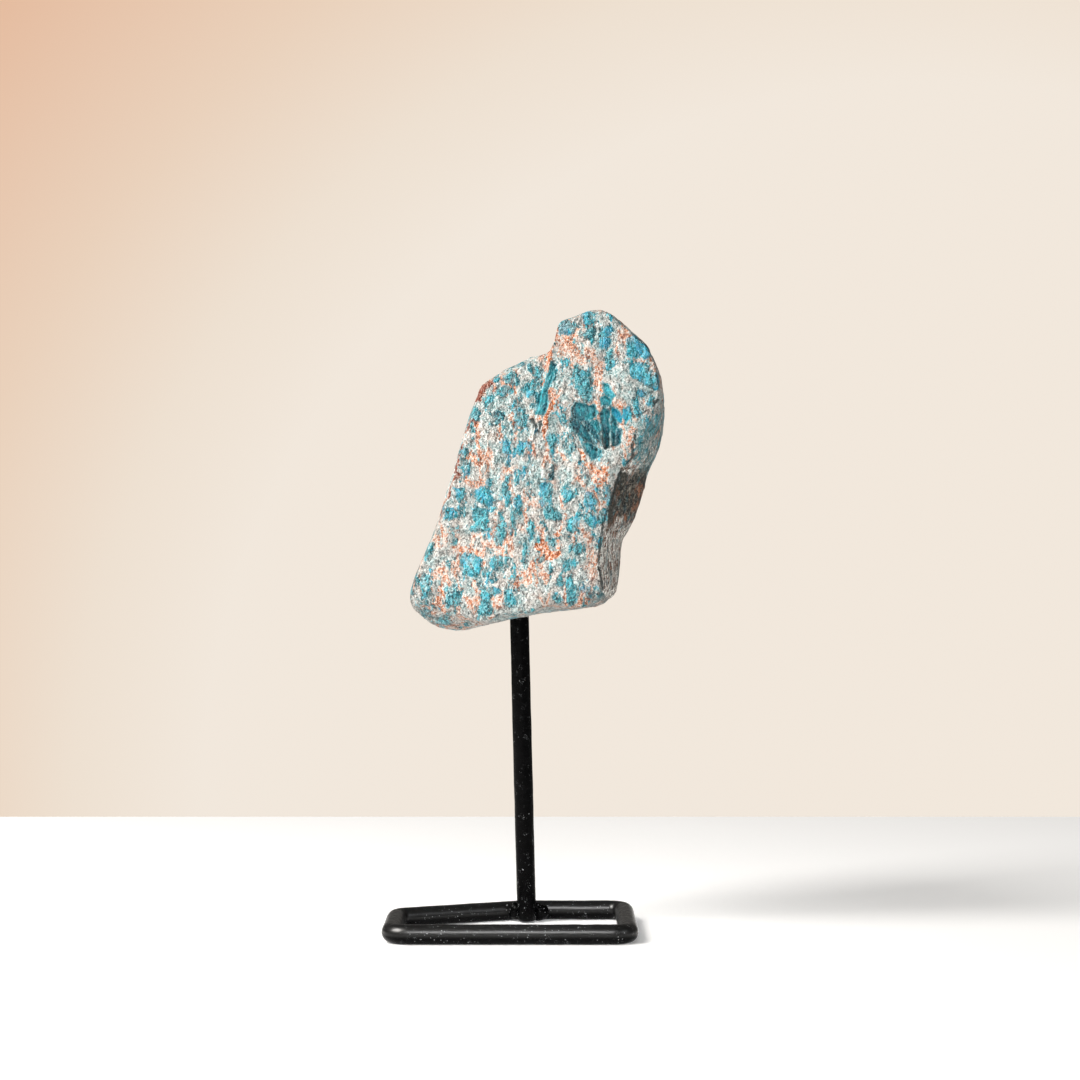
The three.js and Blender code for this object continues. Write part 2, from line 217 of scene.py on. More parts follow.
FLOOR_WHITE = (0.93, 0.93, 0.93, 1)
FLOOR_GLOW = 0.19
floor_material, floor_shader = new_material("floor_white", 0.6)[:2]
floor_shader.inputs["Base Color"].default_value = FLOOR_WHITE
floor_shader.inputs["Specular IOR Level"].default_value = 0.2
floor_shader.inputs["Emission Color"].default_value = (1, 1, 1, 1)
floor_shader.inputs["Emission Strength"].default_value = FLOOR_GLOW
FLOOR_HALF_WIDTH = 2500
FLOOR_FRONT = -2500
FLOOR_BACK = 278
floor_points = [
    [-FLOOR_HALF_WIDTH, FLOOR_FRONT, 0],
    [FLOOR_HALF_WIDTH, FLOOR_FRONT, 0],
    [FLOOR_HALF_WIDTH, FLOOR_BACK, 0],
    [-FLOOR_HALF_WIDTH, FLOOR_BACK, 0],
]
floor = new_piece("floor", floor_points, [np.array([[0, 1, 2, 3]])], floor_material)

# The wall's colour is painted light: brightest low down to the right of the middle, and darker and warmer
# towards its upper left corner. What it sheds on the stone and the stand is dim, with a little more from
# behind them.
WALL_BRIGHTEST = (0.14, 0.97, -0.10)
WALL_BRIGHT_WITHIN = 0.27
WALL_FADES_OVER = 0.19
WALL_BEHIND = (0.70, 0.95)
WALL_TONES = [
    (0.0, (0.885, 0.805, 0.716)),
    (0.25, (0.855, 0.750, 0.640)),
    (0.55, (0.820, 0.640, 0.500)),
    (1.0, (0.780, 0.490, 0.335)),
]
WALL_GLOW = 0.04
AMBIENT = 0.10
AMBIENT_WARM = (1, 0.95, 0.88, 1)
world = bpy.data.worlds.new("studio")
bpy.context.scene.world = world
world.use_nodes = True
world.node_tree.nodes.clear()
direction = Shade(world.node_tree, world.node_tree.nodes.new("ShaderNodeTexCoord").outputs["Generated"])
from_brightest = direction.make(
    "ShaderNodeVectorMath", {"operation": "DISTANCE"}, {0: direction, 1: WALL_BRIGHTEST}, 1
)
wall_colour = ((from_brightest - WALL_BRIGHT_WITHIN) / WALL_FADES_OVER).ramp(*WALL_TONES)
seen = wall_colour.make("ShaderNodeBackground", {}, {"Color": wall_colour})
backwards = direction.make("ShaderNodeSeparateXYZ", {}, {0: direction}, 1)
glow = backwards.rise(*WALL_BEHIND) * WALL_GLOW + AMBIENT
soft = glow.make("ShaderNodeBackground", {}, {"Color": AMBIENT_WARM, "Strength": glow})
is_seen = glow.make("ShaderNodeLightPath", {}, {})
chosen = glow.make("ShaderNodeMixShader", {}, {0: is_seen, 1: soft, 2: seen})
glow.make("ShaderNodeOutputWorld", {}, {0: chosen}, None)


def new_light(name, place, aim, size, colour, power, spread):
    """A square soft light at a place in millimetres, turned to face a point, with its spread in degrees."""
    data = bpy.data.lights.new(name, "AREA")
    data.size = size * MM
    data.spread = math.radians(spread)
    data.color = colour
    data.energy = power
    light = bpy.data.objects.new(name, data)
    light.location = placed(place)
    away = placed(place) - placed(aim)
    yaw = math.atan2(away[0], -away[1])
    light.rotation_euler = (math.atan2(math.hypot(away[0], away[1]), away[2]), 0, yaw)
    bpy.context.collection.objects.link(light)


# The key light stands high on the left, a weak fill in front and a weak window on the right. A narrow lamp
# lights the front rail. Each has its place, its aim, its width, its colour, its power and its spread.
AT_STONE = [5, 30, 90]
AT_RAILS = [0, 30, 3]
LIGHTS = [
    ("key", [-640, -300, 740], AT_STONE, 480, (1, 0.97, 0.93), 15.3, 180),
    ("fill", [-160, -900, 330], AT_STONE, 700, (1, 0.98, 0.95), 0.8, 180),
    ("window", [560, -340, 330], AT_STONE, 220, (0.95, 0.98, 1), 0.5, 180),
    ("lamp", [0, -250, 190], AT_RAILS, 110, (1, 1, 1), 0.015, 24),
]
for light_values in LIGHTS:
    new_light(*light_values)

# The stone: one rough chunk of apatite, broken from the rock and never polished, then drilled from below for
# the post. Blue-green crystals stand in a grey-white ground that iron has stained orange along its cracks.

STONE_Y = 31.5
MIDDLE_X = 4.2
MIDDLE_Z = 116.0
# Its outline is a row of stations: x, z, y, and how far the front rim and the back rim lie inside it.
STATIONS = np.array([
    [22.2, 154.2, -10, 1.0, 9], [25.3, 152.9, -10, 1.0, 9], [29.3, 149.5, -10, 1.0, 8],
    [33.7, 145.9, -10, 1.0, 8], [35.5, 142.4, -9, 1.0, 9], [37, 138.3, -8, 1.2, 10],
    [37.9, 133.2, -4, 1.8, 10], [38.6, 128.4, 1, 4.4, 10], [38.1, 124.4, 3, 6.0, 9],
    [37.4, 120.7, 4, 6.6, 8], [36.2, 117.4, 4, 6.2, 7], [34.4, 113.4, 3, 7.4, 6], [33.2, 109, 2, 7.8, 6],
    [31.8, 104.2, 2, 7.7, 7], [29.7, 99.4, 3, 7.0, 7], [28.2, 96.4, 4, 6.2, 7], [27.6, 91.7, 4, 7.3, 6],
    [27.1, 87.2, 3, 8.0, 6], [25.9, 83.3, 0, 7.0, 7], [22.6, 81.0, -4, 2.4, 8], [16.9, 79.7, -7, 0.9, 6],
    [10, 78.9, -8, 2.4, 4], [4.0, 78.1, -8, 1.2, 4], [-2.1, 76.6, -8, 2.2, 6], [-7.5, 75.2, -7, 2.0, 10],
    [-12, 74.3, -6, 4.2, 12], [-17, 74.9, -7, 4.6, 12], [-21.1, 77.5, -9, 4.4, 11],
    [-24.3, 80.3, -11, 2.6, 10], [-24.7, 84.1, -12, 1.6, 9], [-23.2, 89.2, -13, 1.2, 8],
    [-20, 96.5, -13, 1.0, 8], [-17.3, 103.6, -13, 1.0, 9], [-15.1, 110.9, -13, 0.9, 9],
    [-12.7, 119.6, -12, 0.9, 10], [-10.1, 127.6, -11, 0.9, 10], [-8.4, 132.9, -10, 0.9, 9],
    [-7.1, 135.5, -10, 1.0, 8], [-4.4, 137.3, -10, 1.3, 8], [0.2, 139.6, -9, 1.4, 9],
    [4.6, 141.9, -9, 1.4, 9], [7.4, 142.7, -10, 1.2, 9], [9.4, 143.5, -11, 1.0, 9],
    [10.2, 144.7, -12, 0.8, 9], [11.1, 147.1, -12, 0.8, 10], [12.2, 150.8, -11, 0.9, 10],
    [15.6, 152.5, -10, 1.3, 9], [18.7, 153.7, -10, 1.4, 9],
])
FRONT_FACES = [(-16.6, 0.03, 0.02), (-20.2, 0.2, -0.07), (-20.6, -0.06, -0.15), (-20.8, -0.14, 0.06)]
BACK_FACES = [(17.4, 0.12, -0.06), (18.2, -0.26, 0.03), (20.0, -0.02, -0.36), (20.6, 0.4, 0.16)]
# The step that runs down from the notch: its two lines start at these stations.
STEP_CREST = STATIONS[44]
STEP_FOOT = STATIONS[42]
STEP_DROP = 3.6
STEP_DIES_AT = 119.0
STEP_FULL_AT = 134.0
# Each flat crystal face: its tone, its depth, its tilt across, the turn of its stripes in degrees, and its
# corners, x and z.
FLATS = [
    (0.34, 0.7, 0.16, 20,
     [(15.2, 129.6), (16.0, 131.0), (18.8, 130.6), (20.4, 127.6), (19.2, 126.2), (16.4, 126.2)]),
    (0.20, 1.0, 0.20, 34,
     [(14.7, 126.0), (16.0, 127.0), (18.6, 124.6), (21.0, 120.2), (18.4, 121.6), (16.1, 123.4)]),
    (0.27, 0.8, 0.16, 32,
     [(16.2, 126.8), (18.8, 127.0), (21.6, 122.9), (22.7, 119.4), (21.2, 119.9), (18.8, 124.2)]),
    (0.34, 0.7, 0.10, 30,
     [(17.8, 121.0), (20.0, 120.8), (21.4, 119.4), (21.2, 117.0), (20.2, 116.6), (18.6, 118.6)]),
    (0.44, 0.6, 0.10, 8,
     [(21.2, 119.6), (22.4, 119.0), (22.0, 117.2), (21.2, 117.0)]),
    (0.30, 1.1, 0.14, 4,
     [(21.8, 128.0), (22.8, 129.8), (24.3, 128.8), (24.6, 124.6), (24.3, 119.8), (23.4, 119.5)]),
    (0.40, 0.9, 0.12, 2,
     [(24.3, 128.9), (25.8, 127.4), (26.4, 125.6), (25.8, 120.2), (24.5, 119.8), (24.7, 124.6)]),
    (0.26, 1.0, 0.14, -2,
     [(26.2, 125.6), (27.3, 124.0), (27.3, 120.7), (25.9, 120.0)]),
    (0.93, 0.8, -0.25, 30,
     [(24.2, 129.8), (26.2, 129.4), (27.3, 128.2), (27.5, 125.7), (26.5, 126.0), (25.2, 127.8)]),
    (0.74, 0.6, -0.15, 14,
     [(22.6, 135.7), (23.9, 135.5), (25.9, 132.4), (24.8, 131.6), (23.3, 132.8)]),
    (0.55, 0.5, 0.12, 20,
     [(21.7, 132.0), (23.4, 132.6), (25.2, 131.5), (24.6, 130.1), (22.4, 130.0)]),
    (0.42, 0.6, 0.20, -16,
     [(6.3, 128.0), (8.6, 127.6), (9.4, 131.2), (9.0, 134.2), (7.3, 133.6)]),
    (0.46, 0.5, 0.18, -24,
     [(7.5, 133.4), (9.1, 133.2), (11.6, 140.2), (10.3, 141.0)]),
    (0.90, 0.5, 0.18, 20,
     [(27.7, 129.8), (28.8, 129.2), (29.5, 127.0), (28.4, 125.6), (27.5, 127.2)]),
    (0.40, 0.7, 0.12, 24,
     [(18.6, 128.8), (19.2, 130.2), (20.6, 130.4), (21.6, 128.4), (20.6, 126.6), (19.4, 126.6)]),
    (0.46, 0.8, 0.16, 28,
     [(19.4, 126.2), (21.4, 126.6), (22.2, 124.2), (21.9, 122.8), (20.4, 124.6)]),
]
# Each bite: its middle, its three radii and its depth.
HOLLOWS = [
    ((33.0, -8.5, 107.0), (7.0, 10.0, 10.0), 4.2),
    ((33.0, 17.0, 122.0), (9.0, 9.0, 12.0), 3.0),
    ((-4.0, 19.0, 112.0), (10.0, 8.0, 16.0), 2.4),
    ((14.0, 14.0, 151.0), (8.0, 10.0, 8.0), 2.6),
]
LUMP_SIZE, LUMP_HEIGHT = 9.0, 1.6
GRAIN_SIZE, GRAIN_HEIGHT = 4.0, 0.8
STRETCH_UPWARDS = 1.5
# The relief is lower in the front's own layer of y and at the outline. The sides bulge as a power of their
# share of the way to a rim, and the ways out turn from forwards to sideways between the rim and the outline.
FRONT_CALM, OUTLINE_CALM = 0.4, 0.35
FRONT_LAYER = (-15, -6)
SIDE_BULGE = 1.5
RIM_FROM, SIDES_UP_TO = 0.85, 0.4


def mixed(low, high, share):
    """Low where the share is 0, high where it is 1, and in between in proportion."""
    return low + (high - low) * share


def eased(low, high, value):
    """0 up to low and 1 from high, with the curve 3s^2 - 2s^3 between."""
    share = np.clip((value - low) / (high - low), 0, 1)
    return share * share * (3 - 2 * share)


def corner_value(i, j, k):
    """A number from 0 to 1 for each corner of a lattice of cubes, from products and shifts of its bits."""
    low_bits = 0xFFFFFFFF
    bits = (i * 374761393 & low_bits) ^ (j * 668265263 & low_bits) ^ (k * 1274126177 & low_bits)
    bits = (bits ^ (bits >> 13)) * 1103515245 & low_bits
    return (bits ^ (bits >> 16)) / low_bits


def smooth_noise(x, y, z):
    """Noise from -1 to 1: the values of a cube's eight corners, eased from one to the next on each axis."""
    i, j, k = (np.floor(v).astype(np.int64) for v in (x, y, z))
    u, v, w = (eased(0, 1, a - b) for a, b in ((x, i), (y, j), (z, k)))

    def along_x(b, c):
        return mixed(corner_value(i, j + b, k + c), corner_value(i + 1, j + b, k + c), u)

    def along_y(c):
        return mixed(along_x(0, c), along_x(1, c), v)

    return 2 * mixed(along_y(0), along_y(1), w) - 1


def round_the_edge(share):
    """The stations' columns as smooth closed curves: from one station to the next by a cubic, whose slope at
    each of them is half the step from the station before it to the one after it."""
    count = len(STATIONS)
    at = share * count
    number = np.floor(at).astype(int)
    s = (at - number)[..., None]
    a, b, c, d = (STATIONS[(number + offset) % count] for offset in (-1, 0, 1, 2))
    return b + 0.5 * s * (c - a + s * (2 * a - 5 * b + 4 * c - d + s * (3 * (b - c) + d - a)))


def planes(faces, x, z):
    """The depths of a set of planes at points of the front or back, one row for each plane."""
    return np.array([depth + across * (x - MIDDLE_X) + up * (z - MIDDLE_Z) for depth, across, up in faces])


def step_at(x, z):
    """How far the shoulder lies behind the lobe: a ramp from the crest's line to the foot's, less below."""
    ends = (STEP_CREST, STEP_FOOT)
    crest, foot = (mixed(MIDDLE_X, end[0], (z - MIDDLE_Z) / (end[1] - MIDDLE_Z)) for end in ends)
    ramp = np.clip((crest - x) / np.maximum(crest - foot, 1e-6), 0, 1)
    return STEP_DROP * eased(STEP_DIES_AT, STEP_FULL_AT, z) * ramp


def inside_corners(x, z, corners):
    """How far points are inside a convex polygon: the least of their distances to the lines of its sides."""
    ends = np.roll(corners, -1, 0)
    turn = np.sign(sum(start[0] * end[1] - end[0] * start[1] for start, end in zip(corners, ends)))
    inside = np.full_like(x, 1e9)
    for start, end in zip(corners, ends):
        run = (end - start) / np.linalg.norm(end - start)
        inside = np.minimum(inside, turn * (run[0] * (z - start[1]) - run[1] * (x - start[0])))
    return inside


def flats_at(x, z):
    """How far the flat crystal faces cut in: tilted planes with steep rims, the deepest one counting."""
    cut = np.zeros_like(x)
    for _, depth, tilt, _, corners in FLATS:
        inside = inside_corners(x, z, np.array(corners))
        plane = depth + tilt * (x - np.mean(corners, 0)[0])
        cut = np.maximum(cut, plane * eased(-0.25, 0.25, inside))
    return cut


def front_at(x, z):
    """The front's y: that of the plane furthest back, plus the step and the cuts of the flat faces."""
    return planes(FRONT_FACES, x, z).max(0) + step_at(x, z) + flats_at(x, z)


def back_at(x, z):
    """The back's y: that of the plane furthest forward."""
    return planes(BACK_FACES, x, z).min(0)


def relief_at(x, y, z):
    """How far the surface stands out: lumps and coarse grains, less the bites."""
    up = z / STRETCH_UPWARDS
    lumps = LUMP_HEIGHT * smooth_noise(x / LUMP_SIZE, y / LUMP_SIZE, up / LUMP_SIZE)
    grains = GRAIN_HEIGHT * smooth_noise(x / GRAIN_SIZE, y / GRAIN_SIZE, up / GRAIN_SIZE)
    height = (lumps + grains) * mixed(FRONT_CALM, 1, eased(*FRONT_LAYER, y))
    for middle, radii, depth in HOLLOWS:
        away = np.sqrt(sum(((v - m) / r) ** 2 for v, m, r in zip((x, y, z), middle, radii)))
        height = height - depth * (1 - eased(0.1, 1, away))
    return height


def stone_form(across, up, through):
    """A box's points carried on to the stone. Each lies on a spoke from the middle of the front to the
    outline, by its share of the way round the box. The front and back follow the stone's planes. The sides
    run out from the front rim to the outline and in to the back rim. Returns the points and the ways out."""
    ring = np.maximum(np.maximum(np.abs(across), np.abs(up)), 1e-6)
    u, v = across / ring, up / ring
    eighths = np.select([u == 1, v == -1, u == -1], [2 - v, 4 - u, 6 + v], u)
    share = (eighths / 8 + 1) % 1
    edge_x, edge_z, edge_y, front_inset, back_inset = np.moveaxis(round_the_edge(share), -1, 0)
    reach = np.hypot(edge_x - MIDDLE_X, edge_z - MIDDLE_Z)
    out_x, out_z = (edge_x - MIDDLE_X) / reach, (edge_z - MIDDLE_Z) / reach
    inset = np.where(through < 0, front_inset, back_inset)
    on_cap = np.abs(through) == 1
    radius = np.where(on_cap, ring * (reach - inset), reach - inset * np.abs(through) ** SIDE_BULGE)
    x, z = MIDDLE_X + out_x * radius, MIDDLE_Z + out_z * radius
    rim_x, rim_z = MIDDLE_X + out_x * (reach - inset), MIDDLE_Z + out_z * (reach - inset)
    face_x, face_z = np.where(on_cap, x, rim_x), np.where(on_cap, z, rim_z)
    face_y = np.where(through < 0, front_at(face_x, face_z), back_at(face_x, face_z))
    y = mixed(edge_y, face_y, np.abs(through))
    sideways = eased(RIM_FROM, 1, ring)
    forwards = eased(SIDES_UP_TO, 1, np.abs(through))
    out = np.stack([out_x * sideways, np.sign(through) * forwards, out_z * sideways], -1)
    out = out / np.maximum(np.linalg.norm(out, axis=-1, keepdims=True), 1e-9)
    height = relief_at(x, y, z) * mixed(OUTLINE_CALM, 1, forwards)
    return np.stack([x, y, z], -1) + out * height[..., None], out


def box_skin(across, up, through):
    """The points and quads of a closed box grid, from -1 to 1 each way, all its faces outwards."""
    counts = (across + 1, up + 1, through + 1)
    i, j, k = np.indices(counts)
    skin = (i % across == 0) | (j % up == 0) | (k % through == 0)
    number = np.full(counts, -1)
    number[skin] = np.arange(skin.sum())

    def quads(sheet, flip):
        corners = [sheet[:-1, :-1], sheet[1:, :-1], sheet[1:, 1:], sheet[:-1, 1:]]
        return np.stack(corners[::-1] if flip else corners, -1).reshape(-1, 4)

    faces = [
        quads(number[:, :, 0], False),
        quads(number[:, :, -1], True),
        quads(number[-1].T, False),
        quads(number[0].T, True),
        quads(number[:, -1, :], False),
        quads(number[:, 0, :], True),
    ]
    places = [2 * grid[skin] / steps - 1 for grid, steps in ((i, across), (j, up), (k, through))]
    return *places, np.concatenate(faces)


STEPS_ACROSS, STEPS_THROUGH = 160, 56
*box_places, stone_faces = box_skin(STEPS_ACROSS, STEPS_ACROSS, STEPS_THROUGH)
stone_points, stone_out = stone_form(*box_places)


def broken_grains(points, size, seed):
    """Grains with flat faces. Space is shared out between seeds, one set at random in each cube of a lattice,
    and each seed has its own tilted plane. Returns the height and the distance to the next grain."""
    cell = np.floor(points / size).astype(np.int64)
    nearest = np.full(len(points), 1e9)
    second = np.full(len(points), 1e9)
    height = np.zeros(len(points))
    for step in np.ndindex(3, 3, 3):
        i, j, k = (cell + np.array(step) - 1).T
        spot = np.stack([corner_value(i + seed, j, k + n * 57) for n in range(3)], -1)
        tilt = np.stack([corner_value(i, j + seed, k + n * 91) for n in range(4)], -1) - 0.5
        away = points / size - (np.stack([i, j, k], -1) + spot)
        distance = np.linalg.norm(away, axis=1)
        plane = (away * tilt[:, :3]).sum(1) + 0.7 * tilt[:, 3]
        closer = distance < nearest
        second = np.where(closer, nearest, np.minimum(second, distance))
        height = np.where(closer, plane, height)
        nearest = np.where(closer, distance, nearest)
    return height, (second - nearest) * size


# The broken grain is finer relief on top: it slants, and each grain is longer than it is wide.
SLANT = math.radians(14)
GRAIN_LENGTH = 1.7
COARSE_SIZE, FINE_SIZE, RIPPLE_SIZE = 3.2, 1.5, 0.9
COARSE_HEIGHT, FINE_HEIGHT, RIPPLE_HEIGHT, GROOVE_DEPTH = 0.4, 0.28, 0.1, 0.12
GROOVE_HALF_WIDTH = 0.35
FRONT_HALF_Y = -8
FLAT_CALM, FLAT_CUT = 0.85, 0.8


def tilted_space(points):
    """Points turned so that the stone's slanting grain stands upright, and pressed together along it."""
    x, y, z = points.T
    across = x * math.cos(SLANT) - z * math.sin(SLANT)
    along = z * math.cos(SLANT) + x * math.sin(SLANT)
    return np.stack([across, y, along / GRAIN_LENGTH], -1)


grain_space = tilted_space(stone_points)
coarse, coarse_gap = broken_grains(grain_space, COARSE_SIZE, 11)
fine = broken_grains(grain_space, FINE_SIZE, 23)[0]
ripple = smooth_noise(*(grain_space.T / RIPPLE_SIZE))
smoothness = flats_at(stone_points[:, 0], stone_points[:, 2]) * (stone_points[:, 1] < FRONT_HALF_Y)
roughly = 1 - FLAT_CALM * np.clip(smoothness / FLAT_CUT, 0, 1)
grooves = GROOVE_DEPTH * (1 - eased(0, GROOVE_HALF_WIDTH, coarse_gap))
fine_relief = roughly * (COARSE_HEIGHT * coarse + FINE_HEIGHT * fine + RIPPLE_HEIGHT * ripple - grooves)
fine_relief = fine_relief * mixed(0.5, 1, np.abs(stone_out[:, 1]))
stone_points = stone_points + stone_out * fine_relief[:, None]
stone_points[:, 1] += STONE_Y

POST_LEAN = math.radians(1.4)
POST_FOOT_X, POST_Y = 3.9, 35.3
HOLE_RADIUS, HOLE_TOP = 2.7, 90.6
UNDERSIDE_BELOW = 86


def drilled(points):
    """The hole: points of the underside inside a circle round the post's axis go up to the hole's end, those
    at the circle become its wall, and those just outside draw in to its rim."""
    x, y, z = points.T
    axis_x = POST_FOOT_X - math.tan(POST_LEAN) * z
    away = np.hypot(x - axis_x, y - POST_Y)
    stops = [0, HOLE_RADIUS - 0.4, HOLE_RADIUS + 0.2, HOLE_RADIUS + 0.9]
    near = (away < stops[3]) & (z < UNDERSIDE_BELOW)
    new_away = np.interp(away, stops, [0, HOLE_RADIUS, HOLE_RADIUS, stops[3]])
    lift = np.clip((stops[2] - away) / (stops[2] - stops[1]), 0, 1)
    new_z = mixed(z, HOLE_TOP, lift)
    scale = new_away / np.maximum(away, 1e-6)
    new_axis_x = POST_FOOT_X - math.tan(POST_LEAN) * new_z
    moved = np.stack([new_axis_x + (x - axis_x) * scale, POST_Y + (y - POST_Y) * scale, new_z], -1)
    return np.where(near[:, None], moved, points)


stone_points = drilled(stone_points)

# The crystals that stand out on its front, each x, z, half its width, half its height, its turn and its tone,
# which runs from 0, nearly black, through dark teal, teal and cyan to 1, deep blue.
CRYSTALS = [
    (18.7, 133.2, 2.2, 2.8, 12, 0.50), (20.4, 128.6, 0.9, 1.7, 14, 0.46), (17.6, 137.2, 1.6, 0.8, 0, 0.55),
    (13.9, 149.1, 2.4, 2.2, -20, 0.76), (18.8, 151.6, 1.5, 1.6, 0, 0.9), (19.3, 148.4, 1.4, 1.4, 0, 0.46),
    (23.2, 148, 1.3, 1.5, 0, 0.86), (22.8, 145.4, 1.1, 1.6, -8, 0.97), (32.2, 144.2, 1.5, 3.2, 36, 0.95),
    (29.9, 143.7, 1.4, 2, 10, 0.8), (31.8, 138.8, 2.4, 2.2, 10, 0.8), (33.8, 137.3, 1.8, 1.8, 0, 0.88),
    (35.8, 136.3, 1.1, 1.6, 10, 0.93), (32.3, 133.4, 0.9, 1, 0, 0.92), (31.1, 130.2, 1, 1.9, 0, 0.8),
    (34.4, 131.4, 0.9, 1.5, -10, 0.85), (32.8, 128.8, 1.5, 0.6, 0, 0.88), (17.1, 136.3, 1.6, 1.5, 0, 0.62),
    (10.4, 138.2, 0.9, 2.9, -17, 0.46), (28.4, 128, 1, 2, 0, 0.84), (-3.6, 136.8, 1.5, 1, 0, 0.72),
    (2.8, 140.8, 1.4, 0.7, 0, 0.74), (0.5, 136.6, 1.7, 1.7, 0, 0.48), (4.8, 139.2, 0.7, 1.1, 0, 0.8),
    (-2.5, 133.9, 1.6, 1.4, 0, 0.64), (-5.9, 130.9, 1.2, 1.4, 0, 0.64), (1.2, 129.9, 0.7, 1.1, 0, 0.93),
    (2.4, 126.8, 1.3, 2.3, 0, 0.66), (1.6, 124.6, 0.8, 0.9, 0, 0.84), (-2.8, 126.9, 1.1, 1.7, 0, 0.28),
    (-1.1, 119.7, 1.3, 2.2, 0, 0.78), (3.6, 119.7, 1, 1.1, 0, 0.82), (-11.2, 118.2, 1.4, 1.4, 0, 0.72),
    (10.3, 120.9, 1.1, 2.8, -10, 0.68), (15.4, 120, 0.8, 1, 0, 0.36), (-3.5, 116.1, 0.8, 1.3, 0, 0.12),
    (5.3, 131.9, 0.5, 1.4, 0, 0.36), (-9.2, 125, 0.6, 1, 0, 0.7), (36.2, 127, 0.9, 1.8, 0, 0.55),
    (34.8, 124.1, 1.1, 1.5, 0, 0.5), (-10.8, 115, 1.3, 1.9, 0, 0.74), (-12.1, 108.2, 1.5, 2.1, 0, 0.74),
    (-14.9, 103.3, 1.2, 1.5, 0, 0.76), (-6.4, 108.2, 2, 1.9, 0, 0.74), (-5, 111.4, 1.2, 1.5, 0, 0.7),
    (-8, 101.8, 2, 3.4, -10, 0.5), (-2.5, 98.6, 1.4, 3.2, -8, 0.58), (-1.1, 110.3, 0.8, 2.8, -8, 0.4),
    (-1.3, 106.3, 1, 1.2, 0, 0.72), (1.4, 106.3, 1, 1.4, 0, 0.86), (0.7, 102.2, 0.6, 2.7, 0, 0.44),
    (3.3, 114, 0.7, 0.7, 0, 0.8), (8.8, 108.6, 1.5, 3, -6, 0.82), (10, 113.1, 0.8, 1.1, 0, 0.14),
    (14.2, 107.7, 1.1, 2.3, 0, 0.68), (19.5, 106.9, 1.4, 2.3, 0, 0.84), (9.8, 102.9, 1.9, 1.8, 0, 0.46),
    (15.8, 100.9, 1.6, 2.2, 10, 0.74), (20.3, 101.8, 1.7, 1.1, 0, 0.82), (22.6, 103.2, 0.6, 1.9, 0, 0.78),
    (21.3, 96.4, 0.9, 1.5, 0, 0.7), (5.1, 99.9, 1, 2, 0, 0.64), (3.3, 93.7, 0.9, 3, 0, 0.54),
    (16.8, 95.1, 1.7, 1.4, 10, 0.58), (14, 91, 1.4, 1.7, 0, 0.6), (10.1, 96, 1.1, 1.4, 0, 0.26),
    (-9.4, 90.5, 2.6, 2.6, 0, 0.68), (-3.5, 91.6, 1.6, 1.6, 0, 0.62), (-14.5, 82.7, 1.7, 2.3, 0, 0.5),
    (-6.4, 81.9, 2.1, 3.6, -6, 0.6), (-3.8, 84.4, 1.1, 1.1, 0, 0.84), (-0.3, 82.7, 1.1, 2.6, 0, 0.6),
    (15.2, 82.5, 1.2, 1.5, 0, 0.74), (-20.8, 85.6, 1.5, 2.3, 0, 0.64), (-19.8, 94, 0.8, 1.7, 0, 0.72),
    (24.1, 108.6, 1, 2.4, 10, 0.7), (28, 116.1, 1, 1.2, 0, 0.7), (16.6, 115.6, 0.7, 1, 0, 0.8),
    (-6.5, 103.9, 0.9, 0.9, 0, 0.8), (5.3, 110.3, 0.8, 1.9, 0, 0.34), (4.8, 105.3, 0.5, 0.9, 0, 0.06),
    (-16.8, 77.6, 2.2, 1.2, 0, 0.5), (-20.8, 79.8, 1.4, 1.2, 30, 0.46), (19.8, 83.8, 1.2, 1, 0, 0.46),
    (10.9, 82.2, 0.9, 0.7, 0, 0.56), (7.2, 92.4, 0.8, 0.8, 0, 0.3), (22, 82.7, 1, 0.9, 0, 0.4),
    (12.2, 87, 0.8, 1.2, 0, 0.62),
]
